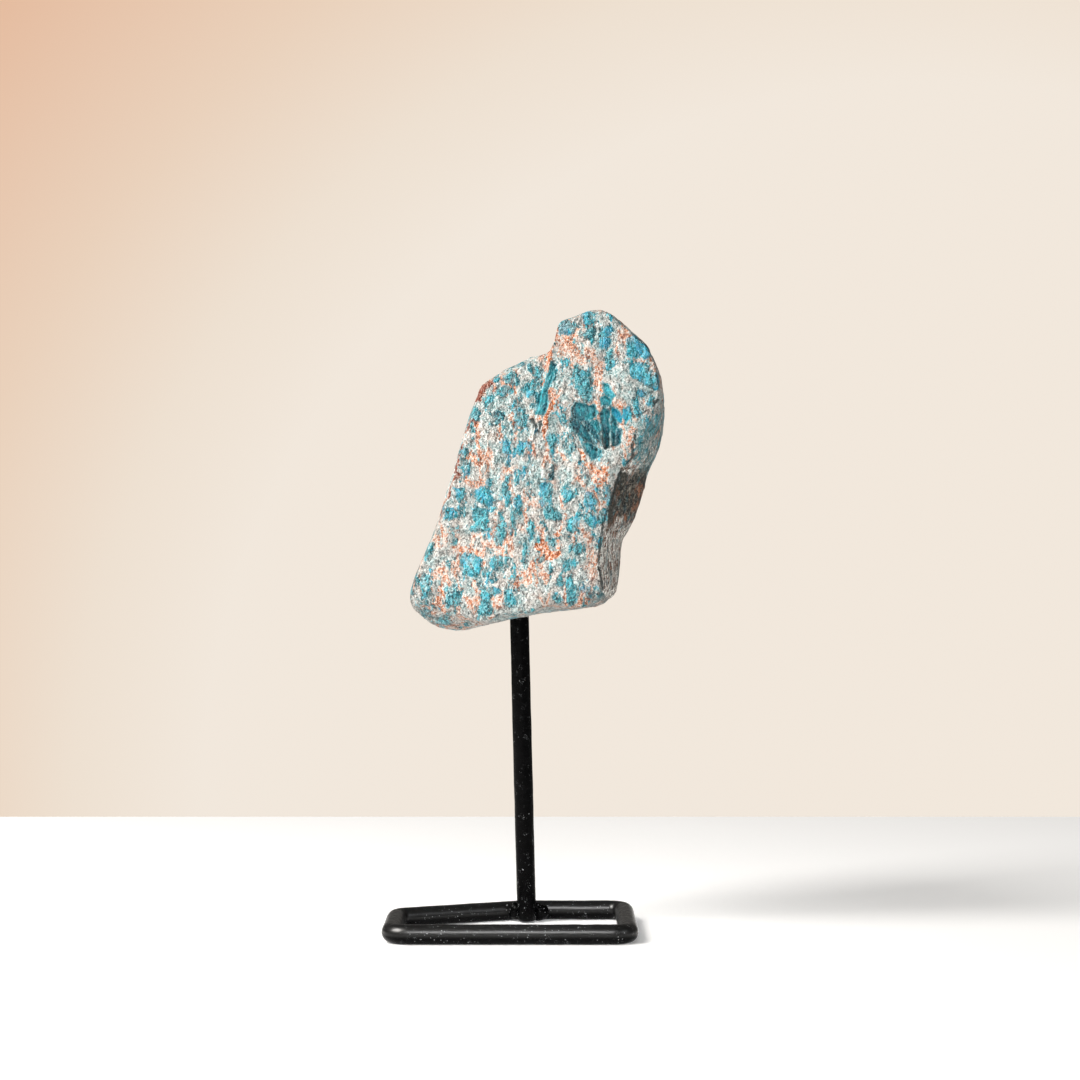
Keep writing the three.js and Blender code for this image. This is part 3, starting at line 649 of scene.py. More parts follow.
# The iron stains on its front, each a line from one x and z to another, its half width, and how strong it is.
STAINS = [
    (11.0, 150.5, 8.6, 135.5, 0.5, 1.0), (9.8, 134.6, 10.3, 130.6, 0.55, 1.0),
    (10.2, 130.6, 8.9, 126.4, 0.65, 1.0), (8.9, 126.4, 8.3, 122.4, 0.60, 1.0),
    (6.4, 127.6, 6.9, 126.4, 0.3, 0.8), (8.2, 97.2, 8.6, 94.4, 0.5, 1.0),
    (12.4, 144.4, 17.6, 140.6, 1.1, 0.5), (13.2, 146.8, 16.0, 143.6, 0.8, 0.7),
    (16.2, 148.0, 14.0, 143.0, 0.5, 0.8), (19.4, 143.6, 22.0, 139.4, 1.1, 0.5),
    (21.0, 139.2, 21.4, 136.0, 0.9, 0.6), (22.6, 134.6, 23.6, 132.4, 0.35, 0.9),
    (25.4, 130.9, 27.4, 130.1, 0.5, 0.8), (16.6, 119.4, 17.6, 116.8, 0.6, 0.9),
    (18.4, 115.4, 24.2, 112.6, 0.9, 0.8), (19.8, 113.2, 21.6, 110.4, 0.6, 0.8),
    (23.4, 115.2, 22.6, 110.0, 0.5, 0.7), (6.8, 95.9, 7.6, 94.4, 0.75, 1.0),
    (8.3, 93.0, 9.9, 92.6, 0.85, 1.0), (9.9, 93.0, 11.6, 94.4, 0.50, 1.0),
    (11.6, 94.4, 12.0, 101.4, 0.35, 0.8), (2.0, 85.0, 5.4, 90.0, 0.5, 0.6),
    (5.4, 90.0, 7.0, 93.0, 0.4, 0.8), (7.0, 91.2, 8.4, 86.6, 0.5, 0.6), (-11.0, 93.8, -7.0, 94.2, 0.6, 0.7),
    (-17.4, 84.0, -16.8, 80.0, 0.6, 0.8), (-9.0, 86.6, -8.4, 79.6, 0.45, 0.7),
    (-19.0, 89.0, -18.0, 87.4, 0.7, 0.5), (-16.2, 98.6, -15.8, 95.4, 0.35, 0.5),
    (-2.6, 85.2, -2.6, 81.0, 0.3, 0.6), (2.0, 89.6, 1.4, 85.4, 0.3, 0.6),
    (-0.4, 112.0, 1.0, 104.0, 0.3, 0.6), (4.0, 108.0, 4.4, 100.0, 0.3, 0.6),
    (12.4, 108.0, 13.4, 102.6, 0.3, 0.5), (26.8, 125.4, 28.6, 122.0, 0.5, 0.6),
    (-3.2, 104.4, -4.4, 96.0, 0.3, 0.5), (-5.6, 136.4, -7.5, 134.8, 0.7, 1.6),
    (-7.7, 134.6, -8.6, 131.8, 0.7, 1.6), (-9.2, 131.0, -12.4, 118.0, 0.25, 1.5),
    (-12.4, 118.0, -17.6, 101.0, 0.2, 1.5), (34.8, 117.4, 31.8, 116.0, 0.3, 0.7),
    (30.4, 124.0, 29.6, 119.4, 0.4, 0.7), (11.6, 119.6, 14.0, 116.6, 0.4, 0.6),
    (-14.0, 90.0, -12.4, 85.0, 0.5, 0.5), (20.0, 98.0, 18.6, 92.0, 0.3, 0.5),
]
CORNERS_AT, DIAGONAL = 0.78, 0.7
UNMARKED = -9.0
CRACK_FAR = 5


def away_from_line(x, z, start, end):
    """The distance of points to the nearest point of a straight line between two ends."""
    run_x, run_z = end[0] - start[0], end[1] - start[1]
    share = ((x - start[0]) * run_x + (z - start[1]) * run_z) / (run_x**2 + run_z**2)
    share = np.clip(share, 0, 1)
    return np.hypot(x - start[0] - share * run_x, z - start[1] - share * run_z)


def inside_crystal(x, z, middle_x, middle_z, wide, tall, turn, tone):
    """How far points are inside a crystal, an oblong turned from upright with its four corners cut off."""
    cosine, sine = math.cos(math.radians(turn)), math.sin(math.radians(turn))
    across = np.abs((x - middle_x) * cosine + (z - middle_z) * sine)
    along = np.abs((z - middle_z) * cosine - (x - middle_x) * sine)
    cut = DIAGONAL * (CORNERS_AT * (wide + tall) - across - along)
    return np.minimum(np.minimum(wide - across, tall - along), cut), tone


def inside_flat(x, z, tone, depth, tilt, turn, corners):
    """How far points are inside a flat crystal face."""
    return inside_corners(x, z, np.array(corners)), tone


def inside_stain(x, z, start_x, start_z, end_x, end_z, half_width, strength):
    """How far points are inside a stain: its half width less their distance to its line."""
    return half_width - away_from_line(x, z, (start_x, start_z), (end_x, end_z)), strength


def nearest_mark(x, z, marks, inside_mark, unmarked):
    """How far inside the nearest of several marks a point is, in mm, and that mark's tone or strength."""
    distance = np.full_like(x, UNMARKED)
    value = np.full_like(x, unmarked)
    for mark in marks:
        inside, mark_value = inside_mark(x, z, *mark)
        value = np.where(inside > distance, mark_value, value)
        distance = np.maximum(distance, inside)
    return distance, value


# The cracks along its right-hand ridge and round its flat faces, each a row of corners, x and z.
CRACKS = [
    [(36.4, 131.6), (34.8, 130.0), (32.7, 128.3), (30.6, 127.4)],
    [(31.8, 124.8), (30.6, 122.3), (30.1, 120.5), (30.2, 117.7), (28.8, 116.0), (27.4, 114.6), (26.1, 111.0)],
    [(26.1, 111.0), (24.0, 104.4), (22.8, 101.1), (22.0, 96.0), (21.6, 91.3), (22.8, 84.8)],
    [(15.4, 126.0), (18.2, 122.0), (21.0, 119.2)],
    [(20.6, 128.0), (22.2, 123.0), (23.2, 119.6), (27.2, 120.8)],
    [(16.0, 130.6), (15.2, 128.4), (15.0, 125.9)],
    [(5.4, 126.6), (6.4, 124.6), (6.0, 121.8)],
    [(7.5, 126.0), (7.0, 123.8), (8.0, 121.0)],
]
# The ridge down its right, where the front breaks off to the hollow and the side: x at a row of heights.
RIDGE_HEIGHTS = [82.3, 85.2, 90.2, 96.0, 100.5, 104.4, 107.8, 110.8, 114.2, 117.7]
RIDGE_X = [24.0, 22.2, 21.0, 22.5, 23.7, 24.0, 24.9, 25.7, 26.9, 30.1]


def crack_distance(x, z):
    """The distance of points to the nearest crack, in mm."""
    away = np.full_like(x, -UNMARKED)
    for corners in CRACKS:
        for start, end in zip(corners, corners[1:]):
            away = np.minimum(away, away_from_line(x, z, start, end))
    return away


def add_values(piece, name, values):
    """Stores a value on each point of a piece."""
    attribute = piece.data.attributes.new(name, "FLOAT", "POINT")
    attribute.data.foreach_set("value", np.asarray(values, np.float32))


stone_material, stone_shader, stone_place = new_material("apatite", 0.55)
stone = new_piece("apatite_chunk", stone_points, [stone_faces], stone_material)
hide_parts("apatite_stone")
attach(stone, "root")

# Where the front's marks, the bite and the broken side end, their limits wander by a few millimetres.
MARKS_END, STAINS_END = (14, 9), (6, 2.5)
side_x, side_y, side_z = (stone_points - [0, STONE_Y, 0]).T


def wander(size, shift=0):
    """Noise from -1 to 1 all over the stone, in lumps of the given size in mm."""
    return smooth_noise(side_x / size, side_y / size + shift, side_z / size)


wandering, wavering = wander(6), wander(2)
behind = side_y - front_at(side_x, side_z) + 4 * wandering + 2 * wavering
on_front = eased(*MARKS_END, behind)
stained_front = eased(*STAINS_END, behind)


def strayed(values, stray, size, layer):
    """Nothing on it is straight: places on its front are moved by noise before they are looked up."""
    return values + stray * smooth_noise(side_x / size, side_z / size, layer + 0 * side_x)


def add_distance(name, distance, share, limit=3):
    """A mark's distance within 3 mm, fading to far outside where its share is 0."""
    add_values(stone, name, mixed(-limit, np.clip(distance, -limit, limit), share))


strayed_x, strayed_z = strayed(side_x, 1.4, 2.4, 3.5), strayed(side_z, 1.4, 2.4, 8.5)
crystal_inside, crystal_tone = nearest_mark(strayed_x, strayed_z, CRYSTALS, inside_crystal, 0.5)
flat_inside, flat_tone = nearest_mark(strayed(side_x, 0.4, 1.1, 5.5), side_z, FLATS, inside_flat, 0.5)
stain_inside, stain_strength = nearest_mark(strayed_x, strayed_z, STAINS, inside_stain, 0.0)
add_distance("crystal", crystal_inside, on_front)
add_distance("flat", flat_inside, on_front)
add_values(stone, "tone", np.where(flat_inside > -0.2, flat_tone, crystal_tone))
add_distance("stain", stain_inside, stained_front)
add_values(stone, "strength", stain_strength)
add_values(stone, "crack", mixed(CRACK_FAR, np.clip(crack_distance(side_x, side_z), 0, CRACK_FAR), on_front))
add_values(stone, "front", on_front)

# The broken sides are darker than the two flat faces, partly weathering and partly painted shade where they
# turn away from the light. The underside is darkened as painted shade, and the deep bite on the right holds
# painted shade as well as its own dark brown. The edge above the ridge is dark teal.
BITE_FROM, BITE_UNTIL, BITE_RIM = (95, 107), (112, 118), (0.6, 1.05)
TEAL_FROM, TEAL_UNTIL, TEAL_RIGHT, TEAL_DEPTH = (112, 117), (123, 129), (29, 32), (8, 2)
SIDE_FROM, SIDE_UNTIL, SIDE_DEPTH = (81, 83), (116, 119), (0, 8)
WEATHERED_BELOW, WEATHERED_RIGHT = (140, 126), (0, 20)
sideways = eased(0.35, 0.95, np.hypot(stone_out[:, 0], stone_out[:, 2]))
bite_middle, bite_radii = HOLLOWS[0][:2]
bite_away = np.linalg.norm((stone_points - [0, STONE_Y, 0] - bite_middle) / np.array(bite_radii), axis=1)
wandered_y = side_y + 5 * wandering + 2.5 * wavering
wandered_z = side_z + 4 * wander(6, 20) + 1.5 * wavering
dark_heights = eased(*BITE_FROM, wandered_z) * (1 - eased(*BITE_UNTIL, wandered_z))
low_down_right = eased(*WEATHERED_BELOW, side_z) * eased(*WEATHERED_RIGHT, side_x)
shade_underneath = eased(0.3, 0.9, -stone_out[:, 2])
edge_heights = eased(*TEAL_FROM, side_z) * (1 - eased(*TEAL_UNTIL, side_z))
past_ridge = side_x - np.interp(side_z, RIDGE_HEIGHTS, RIDGE_X)
ridge_ends = eased(*SIDE_FROM, side_z) * (1 - eased(*SIDE_UNTIL, wandered_z))
ridge_ends = ridge_ends * (1 - eased(*SIDE_DEPTH, wandered_y))
add_values(stone, "weathered", sideways * (0.2 + 0.2 * low_down_right) + 0.35 * shade_underneath)
add_values(stone, "bite", np.maximum(1 - eased(*BITE_RIM, bite_away), dark_heights))
add_values(stone, "teal_edge", edge_heights * eased(*TEAL_RIGHT, side_x) * eased(*TEAL_DEPTH, side_y))
add_distance("side", past_ridge, ridge_ends)

# How far across its own flat face a point is, in mm, for the fine stripes along it.
across_flat = np.zeros(len(side_x))
for _, _, _, turn, corners in FLATS:
    on_flat = inside_corners(side_x, side_z, np.array(corners)) > -0.5
    turned = side_x * math.cos(math.radians(turn)) + side_z * math.sin(math.radians(turn))
    across_flat = np.where(on_flat, turned, across_flat)
add_values(stone, "across", across_flat)


def attribute(place, name):
    """A value that is stored on the points of a piece."""
    return place.make("ShaderNodeAttribute", {"attribute_name": name}, {}, 2)


def mark(name):
    """One of the values stored on the stone."""
    return attribute(stone_place, name)


# Its surface. The ground is a grey-white mass of fine grains with dark gaps between them.
BUMP_HEIGHT = 0.85
GROUND_ROUGHNESS, CRYSTAL_POLISH = 0.62, 0.24
WARP_WIDE, WARP_FINE = 2.6, 0.8
MOTTLE_SIZE, TANGLE_SIZE, PALE_LINE_SIZE, DARK_LINE_SIZE = 1.3, 0.48, 1.0, 1.2
REGION_SIZE, RAGGED_SIZE, SHRED_SIZE, FACET_SIZE = 11, 0.8, 1.7, 1.1
STRIPE_SIZE, HUE_SIZE, VEIN_SIZE, STREAK_SIZE = 0.62, 4.5, 3.4, 0.55
GROUND_GREY = (0.46, 0.50, 0.48)
GROUND_PALE = (0.64, 0.68, 0.65)
GROUND_WARM = (0.78, 0.62, 0.54, 1)
GROUND_TEAL = (0.26, 0.54, 0.56, 1)
# Dark for gaps and cracks, and for painted shade at the crystals' rims.
GAP_AND_SHADE_DARK = (0.015, 0.028, 0.028, 1)
RUST_RED = (0.17, 0.014, 0.006, 1)
# Dark for the broken sides, the underside and just below the ridge: partly weathering, partly painted shade.
SIDE_DARK_AND_SHADE = (0.035, 0.036, 0.028, 1)
LINE_PALE = (0.95, 0.97, 0.94, 1)
# Cyan for the pale lines over crystals and the flat faces' rims, partly painted highlights.
LINE_CYAN_HIGHLIGHT = (0.46, 0.82, 0.86, 1)
EDGE_TEAL = (0.05, 0.26, 0.29, 1)
HOLLOW_RUST = (0.36, 0.13, 0.055, 1)
STAIN_TONES = [
    (0.36, (0.38, 0.09, 0.03)),
    (0.43, (0.92, 0.26, 0.06)),
    (0.50, (0.92, 0.50, 0.33)),
    (0.56, (0.90, 0.78, 0.70)),
]
SIDE_TONES = [(0.43, (0.02, 0.022, 0.018)), (0.50, (0.32, 0.31, 0.28)), (0.56, (0.98, 0.97, 0.91))]
# The bite's tones: its own dark brown, taken darker as painted shade in the recess.
HOLLOW_TONES = [(0.45, (0.004, 0.004, 0.003)), (0.52, (0.05, 0.044, 0.032)), (0.62, (0.30, 0.27, 0.22))]
TONES = [
    (0.0, (0.003, 0.03, 0.045)),
    (0.2, (0.006, 0.13, 0.19)),
    (0.42, (0.010, 0.27, 0.34)),
    (0.62, (0.035, 0.46, 0.54)),
    (0.78, (0.040, 0.58, 0.72)),
    (0.9, (0.005, 0.49, 0.70)),
    (1.0, (0.0, 0.34, 0.56)),
]
grain_turn = {"Vector": stone_place, "Rotation": (0, SLANT, 0), "Scale": (1, 1, 0.5)}
grain_place = stone_place.make("ShaderNodeMapping", {}, grain_turn)
warp_wide = grain_place.noise(WARP_WIDE, 2, output=1)
warp_fine = stone_place.noise(WARP_FINE, 1, output=1)
warped = grain_place.moved(warp_wide, 2.2).moved(warp_fine, 1.1)
warped_fine = stone_place.moved(warp_fine, 1.0)
warped_grain = grain_place.moved(warp_fine, 1.0)

# Light and dark: broad mottling, and a fine tangle of pale cleavage edges and dark gaps.
mottle = warped_grain.noise(MOTTLE_SIZE, 2, 0.85)
tangle = grain_place.scaled((1, 1, 1.5)).noise(TANGLE_SIZE, 1, 0.5, 1.0)
pale_share = tangle.rise(0.53, 0.61) * (mottle.rise(0.36, 0.56) * 0.6 + 0.4)
dark_share = tangle.rise(0.47, 0.38) * (mottle.rise(0.62, 0.44) * 0.6 + 0.4)
pale_lines = abs(warped_fine.noise(PALE_LINE_SIZE, 1, 0.5, 0.6) - 0.5).rise(0.055, 0.015)
pale_share = pale_share.larger(pale_lines * 0.75)
dark_lines = abs(warped_grain.noise(DARK_LINE_SIZE, 1, 0.5, 1.6) - 0.5).rise(0.055, 0.018)
dark_share = dark_share.larger(dark_lines * (1 - pale_lines) * 0.75)
# Its smaller crystals, one to a cell of a lattice warped by noise, in those cells whose own number is high. A
# crystal's depth is how far inside its edge a point is, in mm.
CELL, SMALL_CELL = 3.4, 1.7
NO_CRYSTAL = 5
front = mark("front")
region = stone_place.noise(REGION_SIZE, 2) - 0.5
ragged = warped_grain.noise(RAGGED_SIZE, 1, 0.8) - 0.5
cell_number = warped.cells(CELL, output=1)
chosen = (cell_number.part(0) + region * 1.2 - 0.50 - front * 0.34).rise(-0.02, 0.02)
wild_depth = (cell_number.part(1) * 0.3 + 0.34 - warped.cells(CELL)) * CELL * 0.8
wild_depth = wild_depth - (1 - chosen) * NO_CRYSTAL
small_number = warped.cells(SMALL_CELL, output=1)
small_chosen = (small_number.part(0) + region * 1.2 - 0.60 - front * 0.1).rise(-0.02, 0.02)
small_depth = (small_number.part(1) * 0.25 + 0.34 - warped.cells(SMALL_CELL)) * SMALL_CELL
small_depth = small_depth - (1 - small_chosen) * NO_CRYSTAL
placed_depth = mark("crystal")
flat_depth = mark("flat") + ragged * 0.8
crystal_depth = placed_depth.larger(wild_depth).larger(small_depth) + ragged * 1.7
crystal_depth = crystal_depth.larger(flat_depth)
placed_inside = (placed_depth + ragged * 1.7).rise(-0.12, 0.12)
flat_inside = flat_depth.rise(-0.1, 0.1)
shreds = warped_grain.noise(SHRED_SIZE, 2, 0.7, 0.8) - 0.5
crystal_mask = (crystal_depth + (mottle - 0.5) * 1.4 + shreds * 4.0).rise(-0.35, 0.35).larger(flat_inside)
crystal_rim = abs(crystal_depth + 0.05).rise(0.22, 0.05)
fine_share = 1 - flat_inside * 0.65

# Each crystal's tone changes from one small facet to the next, and flat faces are finely striped lengthways.
facet = warped_grain.cells(FACET_SIZE, output=1).part(2) - 0.5
across_stripes = mark("across")
along_stripes = stone_place.make("ShaderNodeSeparateXYZ", {}, {0: stone_place}, 2) * 0.14
stripe_place = stone_place.make("ShaderNodeCombineXYZ", {}, {0: across_stripes, 2: along_stripes})
stripes = stripe_place.noise(STRIPE_SIZE, 1, 0.7, 0.6) - 0.5
wild_tone = cell_number.part(2) * 0.5 + 0.33
known = placed_inside.larger(flat_inside)
tone = wild_tone + (mark("tone") - wild_tone) * known
tone = tone + facet * 0.42 + (mottle - 0.5) * fine_share + stripes * flat_inside * 0.8
tone = tone + (tangle - 0.5) * 1.3 * fine_share
tone = tone - flat_inside * 0.02
crystal_colour = tone.ramp(*TONES)

# The ground's own hues, then iron's stains: those seen on the front, and thin veins everywhere.
ground_hue = stone_place.moved(warp_wide, 3.0).noise(HUE_SIZE, 3, 0.6)
ground_colour = mottle.rise(0.36, 0.60).ramp((0.0, GROUND_GREY), (1.0, GROUND_PALE))
ground_colour = ground_colour.towards(GROUND_TEAL, ground_hue.rise(0.47, 0.62) * 0.7)
ground_colour = ground_colour.towards(GROUND_WARM, ground_hue.rise(0.50, 0.38) * 0.6)
stain_noise = (warped_fine.noise(0.9, 1, 0.8) - 0.5) * 2.6
strength = mark("strength")
full_stain = strength.rise(0.9, 1.0)
stain_mask = (mark("stain") + stain_noise * (1 - full_stain * 0.35)).rise(-0.25, 0.05)
stain_mask = stain_mask * strength.rise(-0.3, 0.9)
red_share = stain_mask * strength.rise(1.1, 1.4) * (tangle.rise(0.62, 0.44) * 0.45 + 0.5)
vein_distance = warped.scaled((1, 1, 0.55)).cells(VEIN_SIZE, "DISTANCE_TO_EDGE")
vein_region = stone_place.moved(warp_wide, 2.0).noise(7, 2).rise(0.46, 0.58)
vein_mask = (vein_distance + ragged * 0.16).rise(0.13, 0.06) * vein_region
stain_mask = stain_mask.larger(vein_mask * 0.85) * (1 - flat_inside) * (1 - placed_inside * 0.7)
stain_hue = tangle + (warped_fine.noise(1.1, 2) - 0.5) * 0.35 - full_stain * stain_mask * 0.075
stain_colour = stain_hue.ramp(*STAIN_TONES).towards(RUST_RED, red_share)

# All of it together, with the pale edges and the dark gaps over it. Over the crystals the pale edges turn
# cyan, partly pale veins and partly painted highlights, and the dark rims round them are partly dark joints
# and partly painted shade at their edges.
line_colour = crystal_mask.ramp((0.0, LINE_PALE[:3]), (1.0, LINE_CYAN_HIGHLIGHT[:3]))
colour = ground_colour.towards(crystal_colour, crystal_mask)
vivid = tone.rise(0.78, 0.95) * crystal_mask
line_share = pale_share * fine_share * (0.85 - crystal_mask * 0.22) * (1 - vivid * 0.3)
colour = colour.towards(line_colour, line_share)
colour = colour.towards(stain_colour, stain_mask)
rim_shade_and_gaps = (dark_share * fine_share * 0.8).larger(crystal_rim * mottle.rise(0.62, 0.42) * 0.7)
colour = colour.towards(GAP_AND_SHADE_DARK, rim_shade_and_gaps * (1 - stain_mask * 0.6))

# Flat faces have pale rims, painted highlights along their edges. Past the ridge the side is grey with
# upright streaks, and the deep bite in it is dark brown with rusty grains, darkened further by painted shade
# in the recess, with a painted shadow just below the ridge. The edge above the ridge is dark teal.
# The flat faces' pale cyan rims are painted highlights.
flat_rim_highlight = abs(mark("flat") + ragged * 0.3).rise(0.30, 0.08) * tangle.rise(0.42, 0.54)
colour = colour.towards(LINE_CYAN_HIGHLIGHT, flat_rim_highlight * 0.35)
side_share = (mark("side") + ragged * 0.8).rise(-0.15, 0.15)
streaks = stone_place.scaled((1, 1, 0.16)).moved(warp_fine, 0.5).noise(STREAK_SIZE, 2, 0.7)
side_colour = (streaks * 0.6 + tangle * 0.4).ramp(*SIDE_TONES)
hollow_colour = (tangle * 0.7 + mottle * 0.3).ramp(*HOLLOW_TONES)
rusty_grains = ground_hue.rise(0.50, 0.44) * mottle.rise(0.44, 0.58) * 0.8
hollow_colour = hollow_colour.towards(HOLLOW_RUST, rusty_grains)
hollow = (mark("bite") + ragged * 0.6 + (ground_hue - 0.5) * 1.2).rise(0.25, 0.75)
side_colour = side_colour.towards(HOLLOW_RUST, streaks.rise(0.50, 0.44) * tangle.rise(0.42, 0.52) * 0.6)
side_colour = side_colour.towards(hollow_colour, hollow)
# A painted shadow just past the ridge, darkest where the bite meets it.
ridge_shadow = mark("side").rise(3.0, 0.8) * hollow
side_colour = side_colour.towards(SIDE_DARK_AND_SHADE, ridge_shadow * 0.8)
colour = colour.towards(side_colour, side_share * (1 - crystal_mask * 0.25))
teal_edge = mark("teal_edge")
colour = colour.towards(EDGE_TEAL, teal_edge * tangle.rise(0.55, 0.45) * mottle.rise(0.62, 0.42) * 0.9)
# The sides turn darker partly by weathering and partly by painted shade, and the underside by painted shade.
weathered = mark("weathered") * (1 - crystal_mask * 0.5) * (1 - side_share)
colour = colour.towards(SIDE_DARK_AND_SHADE, weathered * (1.3 - mottle))
crack = mark("crack") + ragged * 1.2
crack_share = crack.rise(0.40, 0.16) * warped.noise(3.0, 1).rise(0.36, 0.48)
colour = colour.towards(GAP_AND_SHADE_DARK, crack_share * 0.85)
set_socket(stone_shader, "Base Color", colour)
set_socket(stone_shader, "Roughness", GROUND_ROUGHNESS - crystal_mask * CRYSTAL_POLISH)


def set_bump(shader, relief, distance, strength):
    """Tilts a shader's normals as a relief would whose height of 1 stands for a distance in mm."""
    inputs = {"Height": relief, "Distance": distance * MM, "Strength": strength}
    set_socket(shader, "Normal", relief.make("ShaderNodeBump", {}, inputs))


fine_height = tangle * 0.35 * fine_share + warped_fine.cells(0.9) * 0.3 * fine_share
relief_height = mottle * 0.8 + crystal_depth.rise(-0.1, 0.9) * 0.8 + fine_height
relief_height = relief_height + stripes * 0.3 * flat_inside - crack_share * 0.5
set_bump(stone_shader, relief_height, BUMP_HEIGHT, 1.0)

# The post: one straight length of mild steel rod that leans a little to the left, painted with black enamel.
# Its lower end is ground round and stands in front of the loop's back rails, and its top is glued into the
# stone's hole.
BAR_SIDES = 64


def tube(centres, across, upwards, radii, closed):
    """Rings of points along a path, each its centre plus a radius times cos(t) across and sin(t) upwards. The
    last ring joins the first, or else each end closes on a point at its ring's centre."""
    turn = np.arange(BAR_SIDES) * 2 * math.pi / BAR_SIDES
    spokes = np.cos(turn)[None, :, None] * across[:, None] + np.sin(turn)[None, :, None] * upwards[:, None]
    rings = centres[:, None] + radii[..., None] * spokes
    count = len(centres)
    number = np.arange(count * BAR_SIDES).reshape(count, BAR_SIDES)
    here = number if closed else number[:-1]
    ahead = np.roll(number, -1, 0) if closed else number[1:]
    quads = np.stack([here, np.roll(here, -1, 1), np.roll(ahead, -1, 1), ahead], -1).reshape(-1, 4)
    points = rings.reshape(-1, 3)
    if closed:
        return points, [quads]
    first, last = number[0], number[-1]
    start_fan = np.stack([np.roll(first, -1), first, np.full_like(first, len(points))], -1)
    end_fan = np.stack([last, np.roll(last, -1), np.full_like(last, len(points) + 1)], -1)
    points = np.concatenate([points, centres[:1], centres[-1:]])
    return points, [quads, np.concatenate([start_fan, end_fan])]


def painted(points, axis):
    """A bar's points moved out from its axis by the paint's thickness: noise in lumps of 3 mm and 1 mm."""
    x, y, z = points.T
    runs = 0.7 * smooth_noise(x / 3, y / 3, z / 5) + 0.3 * smooth_noise(x / 1.1, y / 1.1, z / 1.6)
    return axis + (points - axis) * (1 + PAINT_UNEVEN / RAIL_RADIUS * runs)[:, None]


# The enamel has run thick and thin, and it has caught dust and a few hairs, most of them low down.
ENAMEL_BLACK = (0.0005, 0.0005, 0.0006)
ENAMEL_WORN = (0.002, 0.002, 0.0022)
DUST_GREY = (0.30, 0.31, 0.32, 1)
PAINT_UNEVEN = 0.05
BRUSH_MARKS = 0.08
SPECK_SIZE = 0.8
DUSTY_BELOW = (6.5, 5.0)
paint_material, paint_shader, paint_place = new_material("black_enamel", 0.33)
for shine, amount in {"Specular IOR Level": 0.05, "Coat Roughness": 0.34, "Coat IOR": 1.6}.items():
    paint_shader.inputs[shine].default_value = amount
dust_spots = paint_place.moved(paint_place.noise(0.6, 2, output=1), 0.5).cells(SPECK_SIZE)
dust_region = paint_place.noise(5, 3, 0.7).rise(0.52, 0.66)
height = paint_place.make("ShaderNodeSeparateXYZ", {}, {0: paint_place}, 2)
on_base = height.rise(*DUSTY_BELOW)
dust_region = dust_region.larger(on_base * paint_place.noise(9, 2).rise(0.44, 0.58))
dust_cells = paint_place.cells(SPECK_SIZE, output=1).part(0) + on_base * 0.22
dust = dust_spots.rise(0.20, 0.12) * dust_cells.rise(0.70, 0.74) * dust_region
hairs = abs(paint_place.noise(1.2, 2, 0.5, 2.0) - 0.5).rise(0.012, 0.004)
hairs = hairs * paint_place.noise(1.4, 2).rise(0.60, 0.66)
specks = dust.larger(hairs * 0.7)
paint_colour = paint_place.noise(2, 2).ramp((0.3, ENAMEL_BLACK), (0.8, ENAMEL_WORN))
set_socket(paint_shader, "Base Color", paint_colour.towards(DUST_GREY, specks))
set_socket(paint_shader, "Roughness", paint_place.noise(1.5, 3, 0.6) * 0.16 + 0.18 + specks * 0.3)
# It was laid on from above, so the upper half of the base is shinier than its underside and the post.
set_socket(paint_shader, "Coat Weight", attribute(paint_place, "shine") * 0.9)
paint_height = paint_place.noise(1.3, 2) * 0.6 + paint_place.noise(0.45, 2) * 0.2 + specks * 0.3
set_bump(paint_shader, paint_height, BRUSH_MARKS, 0.8)

POST_FOOT_HEIGHT, POST_TOP, POST_FOOT_ROUNDING = 0.3, 90.0, 0.9
ROUNDING_RINGS, STRAIGHT_RINGS = 6, 220
foot_turn = np.linspace(0, math.pi / 2, ROUNDING_RINGS + 1)[:-1]
post_heights = np.concatenate([
    POST_FOOT_HEIGHT + POST_FOOT_ROUNDING * (1 - np.cos(foot_turn)),
    np.linspace(POST_FOOT_HEIGHT + POST_FOOT_ROUNDING, POST_TOP, STRAIGHT_RINGS),
])
post_radii = np.full((len(post_heights), BAR_SIDES), RAIL_RADIUS)
post_radii[:ROUNDING_RINGS] -= POST_FOOT_ROUNDING * (1 - np.sin(foot_turn))[:, None]
lean_x, lean_z = -math.sin(POST_LEAN), math.cos(POST_LEAN)
post_centres = np.array([POST_FOOT_X, POST_Y, 0]) + post_heights[:, None] * [lean_x, 0, lean_z]
post_across = np.tile([lean_z, 0, -lean_x], (len(post_heights), 1))
post_upwards = np.tile([0.0, 1.0, 0.0], (len(post_heights), 1))
post_points, post_faces = tube(post_centres, post_across, post_upwards, post_radii, False)
post_axis = np.array([POST_FOOT_X, POST_Y, 0]) + (post_points[:, 2:] / lean_z) * [lean_x, 0, lean_z]
post_points = painted(post_points, post_axis)
post = new_piece("post_bar", post_points, post_faces, paint_material)
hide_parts("post")
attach(post, "root")

# The base: a longer length of the same rod, bent by hand to a loop that lies on the table. Its back left rail
# slants. Its two ends are welded together and dressed smooth, and the same enamel covers it.
LOOP_HALF_WIDTH, LOOP_DEPTH_RIGHT, LOOP_DEPTH_LEFT = 28.6, 40.4, 27.2
LOOP_KINK_X = 2.2
BEND_RADIUS = 4.0
BEND_POINTS = 24
LOOP_RINGS = 420
SHINE_FROM = (1.6, 3.2)


